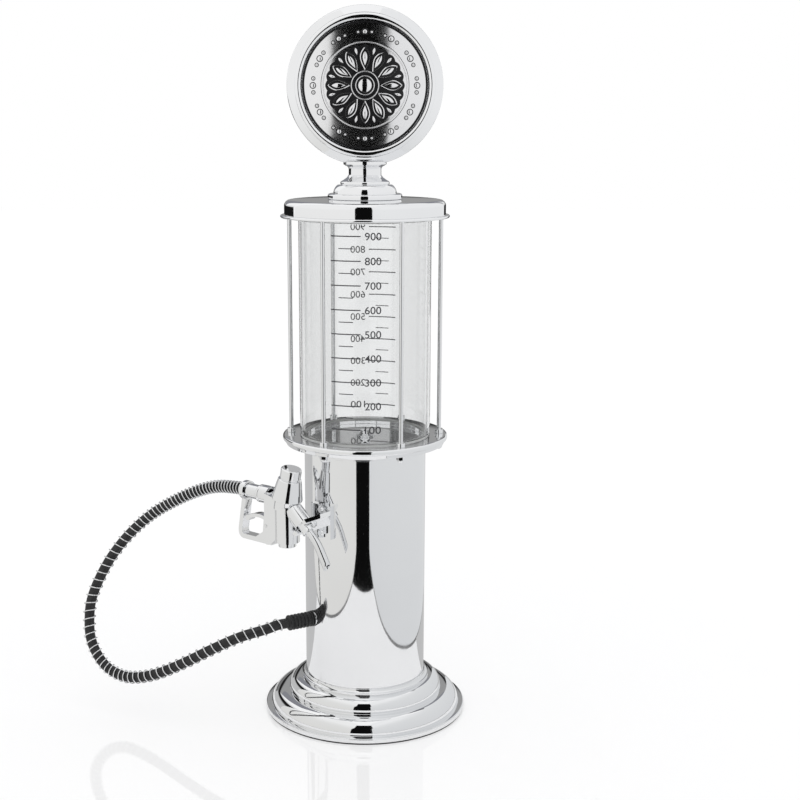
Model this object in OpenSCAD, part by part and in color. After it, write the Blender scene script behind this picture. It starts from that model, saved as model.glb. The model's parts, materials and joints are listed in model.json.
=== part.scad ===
// Countertop drink dispenser shaped like a vintage fuel pump.
// A clear canister stands on a chrome column, a round sign crowns the lid, and a
// pistol nozzle on a spring-wrapped hose hangs on the column's side.
// Origin: centre of the base's underside. +Z up, the front faces -Y, +X to the right.

/* [Base] */
// Width of the flat top between the column and the upper step
top_w = 3.8; // [3.5:0.1:6]
// Height of the rubber pad under the base
pad_h = 1.2; // [0.8:0.1:3]
// Thickness of the steel bottom plate
plate_h = 2; // [1.5:0.1:4]
// Height of the rim below the lower step
rim_h = 3.2; // [2.5:0.1:6]
// Width of the flat lip between the rim and the lower step
lip_w = 4.2; // [3:0.1:6]
// Radius of the rounded lower step
lower_step_r = 10.6; // [8:0.1:12]
// Width of the ledge between the two steps
ledge_w = 2.7; // [1.5:0.1:3]
// Height of the riser above the ledge
riser_h = 1.4; // [0.5:0.1:4]
// Radius of the rounded upper step
upper_step_r = 8.5; // [5:0.1:9]
// Wall thickness of the base shell
base_wall = 1.6; // [1:0.1:2.2]
// Number of screws under the base
base_screw_count = 3; // [3:1:6]

/* [Column] */
// Outer radius of the column
column_r = 43.2; // [40:0.1:44]
// Wall thickness of the column
column_wall = 1.2; // [0.8:0.1:1.8]
// Height of the deck's upper face above the table
deck_z = 206; // [190:1:230]
// Height of the foot ring inside the column
foot_ring_h = 8; // [6:0.5:14]
// Height of the cove ring round the column's foot
cove_ring_h = 4.1; // [3:0.1:7]

/* [Deck] */
// Width of the deck beyond the rods' middles
deck_rim = 5.9; // [4.5:0.1:10]
// Thickness of the deck where the rods pass
deck_h = 6.5; // [6.2:0.1:10]
// Depth of the well in the deck under the canister
well_depth = 2.5; // [1:0.1:3]
// Depth of the collar under the deck that takes the column
deck_collar_h = 4; // [3:0.1:8]

/* [Rods] */
// Number of tie rods
rod_count = 6; // [3:1:6]
// Distance from the canister's wall to a rod's middle
rod_gap = 6.4; // [5:0.1:9]
// Turn of the ring of rods in degrees
rod_turn = -2.4; // [-10:0.2:10]
// Diameter of a tie rod
rod_d = 3; // [2.8:0.1:3.6]

/* [Canister] */
// Overhang of the canister beyond the column
canister_overhang = 3; // [1:0.1:6]
// Wall thickness of the canister
canister_wall = 2; // [1.5:0.1:3]
// Height of the canister
canister_h = 150; // [120:1:180]
// Thickness of the gasket under the canister
gasket_h = 1; // [0.5:0.1:2]
// Thickness of the seal on the canister's upper edge
top_seal_h = 1.5; // [1:0.1:3]

/* [Lid] */
// Width of the top ring beyond the rods' middles
ring_rim = 6; // [4.5:0.1:10]
// Thickness of the top ring
top_ring_h = 2; // [1.5:0.1:4]
// Width of the top ring's lip inside the canister's wall
mouth_lip = 1.1; // [0.8:0.1:5]
// Height of the lid cover
lid_h = 10.5; // [8:0.1:20]
// Radius of the lid cover's rounded corner
lid_corner_r = 4; // [2:0.1:6]
// Wall thickness of the lid cover
lid_wall = 1; // [0.8:0.1:1.2]
// Depth of the plug below the top ring's upper face
plug_depth = 3.6; // [3.4:0.1:14]
// Wall thickness of the plug
plug_wall = 2; // [1.8:0.1:3]

/* [Neck] */
// Radius of the ring at the neck's foot
neck_ring_r = 25.7; // [20:0.1:32]
// Height of the neck below the sign
neck_h = 23; // [20:0.5:34]
// Radius of the neck's waist
neck_waist_r = 11.2; // [8:0.1:13]
// Radius of the flare that carries the sign
neck_flare_r = 14.8; // [13.6:0.1:18]
// Diameter of the stud through the neck
stud_d = 6; // [4:0.1:8]

/* [Sign] */
// Radius of the round sign
sign_r = 53; // [44:0.5:64]
// Half of the width of the sign's rim band
sign_band = 5; // [4:0.1:7]
// Radius of the recess that holds the emblem
sign_recess_r = 42.3; // [36:0.1:46]
// Depth of the sign from its middle to the recess floor
sign_recess_t = 8.8; // [8:0.1:12]
// Wall thickness of the sign shells
sign_wall = 1.8; // [1.2:0.1:2.4]
// Thickness of the emblem plate
emblem_h = 1.2; // [0.8:0.1:2]
// Height of the emblem's crowned face over its edge
face_crown = 3.2; // [1:0.1:4]
// Height of the raised figures on the emblem
relief_h = 0.8; // [0.4:0.1:1.2]
// Number of petals in the emblem's rosette
petal_count = 12; // [6:1:18]
// Number of beads in the emblem's ring
bead_count = 36; // [12:1:48]

/* [Outlet and drain] */
// Diameter of the outlet's threaded stem
outlet_d = 8; // [6:0.1:10]
// Inner diameter of the liquid passages
passage_d = 4.6; // [4:0.1:5]
// Outer diameter of the drain tube
drain_d = 9.2; // [8.6:0.1:11]
// Radius of the drain tube's bend
drain_bend_r = 20; // [16:0.5:22]
// Height of the hose outlet above the table
gland_z = 74; // [60:1:90]
// Angle of the hose outlet round the column
gland_angle = 210; // [200:1:216]

/* [Hose] */
// Diameter of the rubber hose
hose_d = 7.2; // [6.4:0.1:7.4]
// Wire diameter of the spring round the hose
coil_wire_d = 0.9; // [0.7:0.05:1]
// Outer diameter of the spring round the hose
coil_d = 9.9; // [9.7:0.1:11]
// Number of curls in the spring
coil_turns = 80; // [60:1:90]
// Length of the ribbed sleeve at the column
sleeve_l = 19.4; // [12:0.2:24]
// Outer diameter of the ribbed sleeve
sleeve_d = 11; // [10:0.1:13]

/* [Nozzle] */
// Distance of the nozzle's middle plane from the column's surface
gun_standoff = 19.3; // [18:0.1:24]
// Height of the nozzle's centre above the table
gun_z = 160; // [140:1:162]
// Turn of the nozzle from the column's left side towards the front
gun_yaw = 40; // [36:1:44]
// Thickness of the nozzle body's flat cheeks
cheek_w = 15; // [13:0.1:17]
// Radius of the upright valve barrel
barrel_r = 8.8; // [8.4:0.1:10.4]
// Depth of the barrel below the nozzle's centre
barrel_depth = 24; // [22:0.5:28]
// Largest radius of the conical valve cap
cap_r = 11; // [10.5:0.1:12]
// Height of the cap's cone
cap_cone_h = 14.7; // [10:0.1:18]
// Height of the cylinder on top of the cap
cap_top_h = 8; // [4:0.1:10]
// Radius of the cylinder on top of the cap
cap_top_r = 7.3; // [6:0.1:8]
// Forward lean of the valve cap in degrees
cap_lean = 12; // [0:1:16]
// Radius of the hose coupling behind the body
coupling_r = 5.4; // [5.2:0.1:6.2]
// Length of the hose coupling
coupling_l = 15.5; // [12:0.1:18]
// Radius of the union nut between coupling and body
union_r = 6.9; // [6.3:0.1:8]
// Length of the union nut
union_l = 10; // [7:0.1:11]

/* [Spout] */
// Downward slope of the spout where it leaves the body
spout_pitch = 42; // [36:1:48]
// Outer diameter of the spout
spout_d = 6; // [5.4:0.1:7]
// Bend of the spout in degrees
spout_bend = 18; // [6:1:26]
// Radius of the spout's bend
spout_bend_r = 40; // [20:1:60]
// Length of the spout after its bend
spout_tail = 12; // [6:0.5:20]
// Slant of the cut at the spout's mouth in degrees
spout_cut = 30; // [0:1:40]
// Radius of the boss in front of the body
boss_r = 6.5; // [6:0.1:7.4]
// Radius of the waist that hangs in the holder
waist_r = 4.5; // [4:0.1:4.8]
// Thickness of the holder's fork
fork_h = 3; // [2:0.1:4]
// Width of the holder's fork
fork_w = 16; // [14:0.1:20]

/* [Trigger] */
// Diameter of the trigger's pin
pin_d = 2.4; // [2:0.1:3]
// Thickness of the trigger lever
lever_h = 2.6; // [2:0.1:3.2]
// Width of the trigger lever
lever_w = 6; // [5:0.1:7]
// Width of the trigger guard's bar
guard_w = 7; // [5:0.1:9]
// Thickness of the trigger guard's bar
guard_h = 3.5; // [2.5:0.1:4.5]

/* [Hidden] */
$fn = 96;

// Clearance of parts that are pushed or screwed together
slip = 0.05;
// Clearance of parts that slide or turn on each other
play = 0.3;
// Radial clearance of the trigger on its pin
pin_play = 0.06;
// Overshoot of a cut past the face it opens
cut = 0.1;

// Points of an arc round [cx, cz] from angle a0 to a1
function arc(c, r, a0, a1, n = 12) =
  [for (i = [0:n]) c + r * [cos(a0 + (a1 - a0) * i / n), sin(a0 + (a1 - a0) * i / n)]];

// ---- heights, bottom to top ----
plate_z = pad_h + plate_h;
rim_z = pad_h + rim_h;
ledge_z = rim_z + lower_step_r;
upper_z = ledge_z + riser_h;
base_top_z = upper_z + upper_step_r;
column_top_z = deck_z - deck_h - slip;
canister_z = deck_z + gasket_h;
well_z = deck_z - well_depth;
canister_top_z = canister_z + canister_h;
ring_z = canister_top_z + top_seal_h;
ring_top_z = ring_z + top_ring_h;
lid_top_z = ring_top_z + lid_h;
neck_top_z = lid_top_z + neck_h;
sign_z = neck_top_z + sign_r;

// ---- radii, from the column outwards ----
column_bore_r = column_r - column_wall;
upper_center_r = column_r + top_w;
lower_center_r = upper_center_r + upper_step_r + ledge_w;
base_r = lower_center_r + lower_step_r + lip_w;
cove_ring_w = top_w - 0.4;
rim_round = 0.8;
canister_r = column_r + canister_overhang;
rod_circle_r = canister_r + rod_gap;
deck_r = rod_circle_r + deck_rim;
top_ring_r = rod_circle_r + ring_rim;
mouth_r = canister_r - canister_wall - mouth_lip;

// ---- base screws ----
base_screw_r = 1.6;
base_screw_head_r = 3.4;
foot_ring_w = 8;
screw_circle_r = column_bore_r - foot_ring_w / 2;

// ---- tie rods ----
rod_r = rod_d / 2;
acorn_r = 2.9;
acorn_h = 2.4;
rod_tail = 3.9;
rod_foot_z = deck_z - deck_h - rod_tail;
collar_h = 3;
collar_wall = 1.2;
rod_screw_r = 0.9;
rod_screw_head_r = 1.8;
rod_screw_head_h = 1.2;
rod_screw_l = 8;
screw_room = 0.5;
lid_r = rod_circle_r + rod_screw_head_r + screw_room + lid_wall;

// ---- outlet ----
outlet_r = outlet_d / 2;
passage_r = passage_d / 2;
outlet_flange_r = outlet_r + 2.5;
outlet_flange_h = 1.2;
deck_boss_r = outlet_flange_r + 5;
well_r = canister_r - 5.2;
outlet_stem_l = 16.5;
outlet_barb_l = 15;
barb_r = passage_r + 0.9;
outlet_washer_h = 1;
outlet_nut_h = 4.5;
strainer_r = 4.6;
strainer_wall = 0.8;
outlet_stem_z = well_z - outlet_stem_l;
outlet_barb_z = outlet_stem_z - outlet_barb_l;
washer_z = deck_z - deck_h - outlet_washer_h - slip;

// ---- hose outlet ----
gland_r = 4.2;
gland_flange_r = 5.3;
gland_flange_h = 1;
gland_reach = 22;
gland_barb_l = 10;
gland_wall = 2;
gland_nut_r = 7;
gland_nut_h = 3;
gland_out = column_r + gland_flange_h;
gland_nut_in = sqrt(pow(column_bore_r, 2) - pow(gland_nut_r, 2)) - slip;
sleeve_rib_count = 7;
sleeve_rib_h = 0.9;

// ---- nozzle: places in its own plane, x forward and z up from its centre ----
hang_offset = 15.4;
handle_h = 6.5;
barrel_x = -3;
boss_x = 3;
boss_l = 13;
waist_l = 3.6;
fork_gap = (waist_l - fork_h) / 2;
spout_nut_l = 3.4;
spout_nut_r = 5;
spout_lead = 6.4;
body_back = -18;
cap_seat = [barrel_x, 6.5];
cap_gasket_h = 0.5;
cap_spigot_l = 1.1;
barrel_bore_r = 5;
union_back = body_back - union_l;
coupling_back = union_back - coupling_l;
spigot_r = 4.6;
toe_z = -26.4;
toe_x = -27;
pivot = [-16.6, -13.7];
hub_r = 2.6;
hub_w = 7.6;
finger_l = 14.6;
finger_w = 1.6;
finger_h = 2.4;
slot_w = 8.4;
slot_h = 14;
slot_foot = -21;
slot_front = -5;
seat_z = 2.2;
seat_h = 2;
head_h = 2.5;
head_r = 4.4;
stem_r = 1.6;
stem_foot = -20.5;
stem_collar_r = 3.7;
stem_collar_h = 1.2;
stem_collar_z = pivot[1] - finger_h / 2 - 0.4 - stem_collar_h;
plug_head_h = 3.5;
plug_head_r = 6.2;
plug_spigot_l = 2.4;
plug_well = 1.8;

// ---- trigger lever: an arc from the pivot to the fingertip ----
lever_r = 19;
lever_center = [-28, -28.4];
lever_a0 = 54;
lever_a1 = 125;
lever_tip_r = 2;

// ---- trigger guard ----
guard_foot_x = coupling_back - 4;
guard_foot_z = toe_z - 2.2;
guard_corner_r = 5;
guard_tab_h = 2.1;
guard_eye_l = 3.6;
guard_eye_r = coupling_r + 1.4;
guard_tab_end = -15;
guard_screw_x = -21;
guard_screw_r = 1;
guard_screw_head_r = 2;
guard_screw_head_h = 1;
guard_screw_l = 5;

// ---- holder ----
pad_w = 18;
pad_tall = 24;
pad_t = 3.2;
prong_l = 6;
holder_screw_r = 1.4;
holder_screw_head_r = 2.6;
holder_screw_pitch = 17;

// Direction along the spout's first stretch, in the nozzle's plane
spout_dir = [cos(spout_pitch), -sin(spout_pitch)];
fork_mid = [boss_x, 0] + (boss_l + waist_l / 2) * spout_dir;

// ---- the nozzle's frame in the model's frame ----
gun_forward = [cos(gun_yaw), -sin(gun_yaw), 0];
gun_inward = [sin(gun_yaw), cos(gun_yaw), 0];
gun_center = -hang_offset * gun_forward - (column_r + gun_standoff) * gun_inward + [0, 0, gun_z];
gland_dir = [cos(gland_angle), sin(gland_angle), 0];

module gun_frame() {
  rotate([0, 0, -gun_yaw])
    translate([-hang_offset, -(column_r + gun_standoff), gun_z])
      children();
}

// Local z runs along the spout's first stretch, local x points down and back
module spout_frame() {
  gun_frame()
    translate([boss_x, 0, 0])
      rotate([0, 90 + spout_pitch, 0])
        children();
}

module cap_frame() {
  gun_frame()
    translate([cap_seat[0], 0, cap_seat[1]])
      rotate([0, cap_lean, 0])
        children();
}

// Local z points out of the column at the hose outlet
module gland_frame() {
  rotate([0, 0, gland_angle])
    translate([0, 0, gland_z])
      rotate([0, 90, 0])
        children();
}

module ring(r_out, r_in, z0, h) {
  translate([0, 0, z0])
    difference() {
      cylinder(r = r_out, h = h);
      translate([0, 0, -cut])
        cylinder(r = r_in, h = h + 2 * cut);
    }
}

module around(count, r, start = 0) {
  for (i = [0:count - 1])
    rotate([0, 0, start + i * 360 / count])
      translate([r, 0, 0])
        children();
}

// A bent tube with its bore in the local xz-plane.
// Each step of the path is [x, z, heading], with the heading turned from +z towards +x.
// The far end is cut at a slant that leaves its +x side longer.
module pipe(path, r_out, r_in, n, slant = 0) {
  count = len(path);
  inside = count * n;
  points = [for (r = [r_out, r_in]) for (i = [0:count - 1]) for (j = [0:n - 1])
    let (
      p = path[i],
      x = r * cos(360 * j / n),
      ahead = i == count - 1 ? x * tan(slant) : 0
    )
    [
      p[0] + x * cos(p[2]) + ahead * sin(p[2]),
      r * sin(360 * j / n),
      p[1] - x * sin(p[2]) + ahead * cos(p[2])
    ]];
  walls = [for (i = [0:count - 2]) for (j = [0:n - 1])
    let (k = (j + 1) % n)
    each [
      [i * n + j, (i + 1) * n + k, i * n + k],
      [i * n + j, (i + 1) * n + j, (i + 1) * n + k],
      [inside + i * n + j, inside + i * n + k, inside + (i + 1) * n + k],
      [inside + (i + 1) * n + k, inside + (i + 1) * n + j, inside + i * n + j]
    ]];
  ends = [for (j = [0:n - 1])
    let (k = (j + 1) % n, last = inside - n)
    each [
      [j, k, inside + k, inside + j],
      [last + k, last + j, inside + last + j, inside + last + k]
    ]];
  polyhedron(points, concat(walls, ends));
}

// ======== base ========

module base_pad() {
  color([0.1, 0.1, 0.1])
    cylinder(r = base_r - 0.6, h = pad_h);
}

module base_plate() {
  color([0.5, 0.5, 0.52])
    difference() {
      translate([0, 0, pad_h])
        cylinder(r = base_r - base_wall - play, h = plate_h);
      around(base_screw_count, screw_circle_r)
        translate([0, 0, pad_h]) {
          translate([0, 0, -cut])
            cylinder(r = base_screw_r + slip, h = plate_h + 2 * cut);
          cylinder(r1 = base_screw_head_r + slip, r2 = base_screw_r + slip, h = plate_h);
        }
    }
}

module base_screws() {
  color([0.7, 0.7, 0.72])
    around(base_screw_count, screw_circle_r)
      translate([0, 0, pad_h]) {
        cylinder(r1 = base_screw_head_r, r2 = base_screw_r, h = plate_h);
        cylinder(r = base_screw_r, h = plate_h + foot_ring_h - 1);
      }
}

// A hollow shell: rim, lip, rounded lower step, ledge, riser and rounded upper step
module base_shell() {
  outer = concat(
    [[base_r, pad_h]],
    arc([base_r - rim_round, rim_z - rim_round], rim_round, 0, 90, 5),
    arc([lower_center_r, rim_z], lower_step_r, 0, 90, 20),
    [[upper_center_r + upper_step_r, ledge_z]],
    arc([upper_center_r, upper_z], upper_step_r, 0, 90, 18),
    [[column_r + slip, base_top_z]]
  );
  inner = concat(
    [[column_r + slip, base_top_z - base_wall]],
    arc([upper_center_r, upper_z], upper_step_r - base_wall, 90, 0, 18),
    [[upper_center_r + upper_step_r - base_wall, ledge_z - base_wall]],
    arc([lower_center_r, rim_z], lower_step_r - base_wall, 90, 0, 20),
    [[lower_center_r + lower_step_r - base_wall, rim_z - base_wall * 0.6]],
    [[base_r - base_wall, rim_z - base_wall * 0.6]],
    [[base_r - base_wall, pad_h]]
  );
  color("silver")
    rotate_extrude()
      polygon(concat(outer, inner));
}

// ======== column ========

module foot_ring() {
  color([0.6, 0.6, 0.62])
    difference() {
      ring(column_bore_r - slip, column_bore_r - foot_ring_w, plate_z, foot_ring_h);
      around(base_screw_count, screw_circle_r)
        translate([0, 0, plate_z - cut])
          cylinder(r = base_screw_r + slip, h = foot_ring_h + 2 * cut);
    }
}

module column_tube() {
  color("silver")
    difference() {
      ring(column_r, column_bore_r, plate_z, column_top_z - plate_z);
      gland_frame()
        cylinder(r = gland_r + slip, h = column_r + cut);
      holder_screw_places()
        cylinder(r = holder_screw_r + slip, h = 3 * pad_t, center = true);
    }
}

// A concave trim ring that presses the base shell down
module cove_ring() {
  outer_r = column_r + cove_ring_w;
  cove_r = cove_ring_w - 0.8;
  color("silver")
    rotate_extrude()
      polygon(concat(
        [[column_r + slip, base_top_z], [outer_r, base_top_z]],
        arc([outer_r, base_top_z + cove_ring_h], cove_r, 270, 180, 12),
        [[column_r + slip, base_top_z + cove_ring_h]]
      ));
}

// ======== deck and rods ========

module deck_flange() {
  rim = 1.6;
  under_z = deck_z - deck_h;
  foot_r = column_r + 2.8;
  cove_r = rod_circle_r - acorn_r - 0.2 - foot_r;
  relief = 1.2;
  outline = concat(
    arc([deck_r - rim, deck_z - rim], rim, 90, 0, 8),
    arc([deck_r - rim, deck_z - rim - 0.8], rim, 0, -90, 8),
    [[rod_circle_r + acorn_r + 0.6, under_z]],
    arc([foot_r + cove_r, under_z - cove_r], cove_r, 90, 180, 8),
    [
      [foot_r, under_z - deck_collar_h],
      [column_r + slip, under_z - deck_collar_h],
      [column_r + slip, under_z],
      [column_bore_r - 3, under_z],
      [column_bore_r - 5, under_z + relief],
      [deck_boss_r + 1, under_z + relief],
      [deck_boss_r, under_z],
      [outlet_r + slip, under_z],
      [outlet_r + slip, well_z],
      [well_r, well_z],
      [well_r, deck_z]
    ]
  );
  color("silver")
    difference() {
      rotate_extrude()
        polygon(outline);
      around(rod_count, rod_circle_r, rod_turn)
        translate([0, 0, under_z - cut])
          cylinder(r = rod_r + slip, h = deck_h + 2 * cut, $fn = 32);
    }
}

module tie_rods() {
  color([0.85, 0.85, 0.87])
    around(rod_count, rod_circle_r, rod_turn)
      difference() {
        translate([0, 0, rod_foot_z])
          cylinder(r = rod_r, h = ring_z - rod_foot_z, $fn = 32);
        translate([0, 0, ring_z - rod_screw_l - 1])
          cylinder(r = rod_screw_r + slip, h = rod_screw_l + 1 + cut, $fn = 24);
      }
}

module acorn_nuts() {
  top = deck_z - deck_h;
  color("silver")
    around(rod_count, rod_circle_r, rod_turn)
      difference() {
        union() {
          translate([0, 0, top - acorn_h])
            cylinder(r = acorn_r, h = acorn_h, $fn = 6);
          intersection() {
            translate([0, 0, top - acorn_h])
              sphere(r = acorn_r - 0.3, $fn = 32);
            translate([0, 0, top - acorn_h - acorn_r])
              cylinder(r = acorn_r, h = acorn_r + cut);
          }
        }
        translate([0, 0, rod_foot_z - 0.2])
          cylinder(r = rod_r + slip, h = rod_tail + 1, $fn = 32);
      }
}

module rod_collars() {
  color("silver")
    around(rod_count, rod_circle_r, rod_turn)
      ring(rod_r + collar_wall, rod_r + slip, deck_z, collar_h, $fn = 32);
}

module rod_screws() {
  color("silver")
    around(rod_count, rod_circle_r, rod_turn) {
      translate([0, 0, ring_top_z])
        cylinder(r = rod_screw_head_r, h = rod_screw_head_h, $fn = 32);
      translate([0, 0, ring_z - rod_screw_l])
        cylinder(r = rod_screw_r, h = rod_screw_l + top_ring_h + cut, $fn = 24);
    }
}

// ======== canister ========

module canister_gasket() {
  color([0.9, 0.9, 0.88])
    ring(canister_r - 0.4, canister_r - 5, deck_z, gasket_h);
}

// Open tube, clamped between the deck and the top ring
module canister() {
  color([0.9, 0.95, 1, 0.3])
    ring(canister_r, canister_r - canister_wall, canister_z, canister_h);
}

module top_seal() {
  color([0.9, 0.9, 0.88])
    ring(canister_r, mouth_r + play, canister_top_z, top_seal_h);
}

module top_ring() {
  edge = top_ring_h / 2;
  color("silver")
    difference() {
      rotate_extrude()
        polygon(concat(
          arc([top_ring_r - edge, ring_z + edge], edge, -90, 90, 12),
          [[mouth_r, ring_top_z], [mouth_r, ring_z]]
        ));
      around(rod_count, rod_circle_r, rod_turn)
        translate([0, 0, ring_z - cut])
          cylinder(r = rod_screw_r + slip, h = top_ring_h + 2 * cut, $fn = 24);
    }
}

// ======== outlet and drain ========

module outlet_fitting() {
  color([0.75, 0.75, 0.77])
    difference() {
      union() {
        translate([0, 0, well_z])
          cylinder(r = outlet_flange_r, h = outlet_flange_h);
        translate([0, 0, outlet_stem_z])
          cylinder(r = outlet_r, h = outlet_stem_l);
        translate([0, 0, outlet_barb_z])
          cylinder(r = barb_r, h = outlet_barb_l);
      }
      translate([0, 0, outlet_barb_z - cut])
        cylinder(r = passage_r, h = outlet_barb_l + outlet_stem_l + outlet_flange_h + 2 * cut);
    }
}

// A small dome with holes over the outlet
module outlet_strainer() {
  foot_z = well_z + outlet_flange_h;
  color("silver")
    difference() {
      rotate_extrude()
        polygon(concat(
          arc([0, foot_z], strainer_r, 0, 90, 10),
          arc([0, foot_z], strainer_r - strainer_wall, 90, 0, 10)
        ));
      for (i = [0:5])
        translate([0, 0, foot_z + 1.4])
          rotate([0, 90, i * 60])
            cylinder(r = 0.7, h = strainer_r + 1, $fn = 24);
    }
}

module outlet_washer() {
  color([0.15, 0.15, 0.15])
    ring(outlet_flange_r + 1, outlet_r + slip, washer_z, outlet_washer_h);
}

module outlet_nut() {
  color([0.75, 0.75, 0.77])
    translate([0, 0, washer_z - outlet_nut_h])
      difference() {
        cylinder(r = outlet_flange_r + 1, h = outlet_nut_h, $fn = 6);
        translate([0, 0, -cut])
          cylinder(r = outlet_r + slip, h = outlet_nut_h + 2 * cut);
      }
}

// Clear tube from the outlet down the column and out to the gland
module drain_tube() {
  bend_z = gland_z + drain_bend_r;
  bend_step_count = 8;
  level_end = column_r - gland_reach + gland_barb_l;
  path = concat(
    [[0, outlet_stem_z - slip, 180]],
    [for (i = [0:bend_step_count])
      let (a = 90 * i / bend_step_count)
      [drain_bend_r * (1 - cos(a)), bend_z - drain_bend_r * sin(a), 180 - a]],
    [[level_end, gland_z, 90]]
  );
  color([0.85, 0.9, 0.95, 0.6])
    rotate([0, 0, gland_angle])
      pipe(path, drain_d / 2, barb_r + slip + 0.1, 24);
}

// Bulkhead fitting: saddle flange outside, threaded stem through the wall, barb inside
module hose_gland() {
  barb_tip = column_r - gland_reach;
  stem_z = barb_tip + gland_barb_l + slip;
  color("silver")
    difference() {
      gland_frame()
        translate([0, 0, column_r - gland_wall])
          cylinder(r = gland_flange_r, h = gland_flange_h + gland_wall);
      cylinder(r = column_r + slip, h = deck_z);
    }
  color("silver")
    gland_frame()
      difference() {
        union() {
          translate([0, 0, stem_z])
            cylinder(r = gland_r, h = gland_out - stem_z - gland_wall / 2);
          translate([0, 0, barb_tip])
            cylinder(r = barb_r, h = gland_barb_l + gland_wall);
        }
        translate([0, 0, barb_tip - cut])
          cylinder(r = passage_r, h = gland_out - gland_wall - barb_tip);
      }
}

module gland_nut() {
  color([0.75, 0.75, 0.77])
    gland_frame()
      translate([0, 0, gland_nut_in - gland_nut_h])
        difference() {
          cylinder(r = gland_nut_r, h = gland_nut_h, $fn = 6);
          translate([0, 0, -cut])
            cylinder(r = gland_r + slip, h = gland_nut_h + 2 * cut);
        }
}

// Solid rubber end sleeve with ribs
module hose_sleeve() {
  pitch = sleeve_l / sleeve_rib_count;
  core_r = sleeve_d / 2 - sleeve_rib_h;
  color([0.08, 0.08, 0.08])
    gland_frame()
      translate([0, 0, gland_out]) {
        cylinder(r = core_r, h = sleeve_l);
        for (i = [0:sleeve_rib_count - 1])
          translate([0, 0, (i + 0.2) * pitch])
            cylinder(r = sleeve_d / 2, h = pitch * 0.6);
      }
}

// ======== hose ========

// Points along the hose between its two straight ends, chosen by hand
route_points = [
  [-70, -39, 72], [-89, -42, 67], [-109, -41, 57.5], [-128, -37, 46.5], [-148, -30, 35.5],
  [-164, -23, 29.5], [-176, -17, 28], [-187, -12, 31.5], [-195, -8, 39], [-201, -3, 50],
  [-203, 2, 62], [-202, 7, 77], [-196, 10, 93], [-186, 13, 110.5], [-172, 15, 127.5],
  [-155, 16, 142], [-135, 15, 153.5], [-119, 12, 160.5], [-106, 6, 164.5]
];
hose_lead = 8;
gun_inlet = gun_center + coupling_back * gun_forward + [0, 0, handle_h];
sleeve_end = (gland_out + sleeve_l) * gland_dir + [0, 0, gland_z];
route = concat(
  [sleeve_end, sleeve_end + hose_lead * gland_dir],
  route_points,
  [gun_inlet - hose_lead * gun_forward, gun_inlet]
);

function unit(v) = v / norm(v);
function at(list, i) = list[max(0, min(len(list) - 1, i))];
// A smooth curve through the route's points; u counts them
function curve(u) =
  let (
    i = min(len(route) - 2, floor(u)),
    t = u - i,
    a = route[i],
    b = route[i + 1],
    ta = (b - at(route, i - 1)) / 2,
    tb = (at(route, i + 2) - a) / 2
  )
  (2 * t * t * t - 3 * t * t + 1) * a + (t * t * t - 2 * t * t + t) * ta
  + (3 * t * t - 2 * t * t * t) * b + (t * t * t - t * t) * tb;

route_step_count = 3;
sample_count = (len(route) - 1) * route_step_count;
center_line = [for (i = [0:sample_count]) curve(i / route_step_count)];
// Direction at sample i; the ends are square to what they meet
function heading(i) =
  i <= 1 ? gland_dir
  : i >= sample_count - 1 ? gun_forward
  : unit(center_line[i + 1] - center_line[i - 1]);
// A side vector carried along without twist
function carried(side, dir) = unit(side - (side * dir) * dir);
function sides(i = 0, side = [0, 0, 1]) =
  let (s = carried(side, heading(i)))
  i >= sample_count ? [s] : concat([s], sides(i + 1, s));
side_list = sides();
// Distance along the hose at each sample
function lengths(i = 0, sum = 0) =
  i >= sample_count
  ? [sum]
  : concat([sum], lengths(i + 1, sum + norm(center_line[i + 1] - center_line[i])));
length_list = lengths();
hose_l = length_list[sample_count];

// Faces of a tube of n-sided rings, with both ends closed
function tube_faces(rings, n) = concat(
  [[for (j = [0:n - 1]) j]],
  [[for (j = [n - 1:-1:0]) (rings - 1) * n + j]],
  [for (i = [0:rings - 2]) for (j = [0:n - 1])
    [i * n + j, (i + 1) * n + (j + 1) % n, i * n + (j + 1) % n]],
  [for (i = [0:rings - 2]) for (j = [0:n - 1])
    [i * n + j, (i + 1) * n + j, (i + 1) * n + (j + 1) % n]]
);

// Plain rubber tube along the route
module hose() {
  n = 12;
  points = [for (i = [0:sample_count]) for (j = [0:n - 1])
    let (s = side_list[i], w = cross(heading(i), s), a = 360 * j / n)
    center_line[i] + hose_d / 2 * (cos(a) * s + sin(a) * w)];
  color([0.06, 0.06, 0.06])
    polyhedron(points, tube_faces(sample_count + 1, n));
}

// Place, side and direction at distance d along the hose
function sample_of(d, i = 0) =
  i >= sample_count - 1 || length_list[i + 1] >= d ? i : sample_of(d, i + 1);
coil_rings = 8;
coil_mean_r = (coil_d - coil_wire_d) / 2;
coil_ends = coil_wire_d;
coil_count = coil_turns * coil_rings;
coil_step = (hose_l - 2 * coil_ends) / coil_count;
// Sample number of each ring, found in one walk along the hose
function walk(k = 0, i = 0) =
  k > coil_count
  ? []
  : let (j = sample_of(coil_ends + k * coil_step, i))
    concat([j], walk(k + 1, j));
coil_samples = walk();
function coil_point(k) =
  let (
    d = coil_ends + k * coil_step,
    i = coil_samples[k],
    t = (d - length_list[i]) / (length_list[i + 1] - length_list[i]),
    p = center_line[i] + t * (center_line[i + 1] - center_line[i]),
    dir = unit((1 - t) * heading(i) + t * heading(i + 1)),
    s = carried((1 - t) * side_list[i] + t * side_list[i + 1], dir),
    a = 360 * k / coil_rings
  )
  p + coil_mean_r * (cos(a) * s + sin(a) * cross(dir, s));
coil_points = [for (k = [0:coil_count]) coil_point(k)];
coil_gap = min([for (k = [0:coil_count - coil_rings])
  min([for (m = [coil_rings - 1:min(coil_rings + 1, coil_count - k)])
    norm(coil_points[k + m] - coil_points[k])])]) - coil_wire_d;
echo(hose_length = hose_l, coil_gap = coil_gap);

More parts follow.
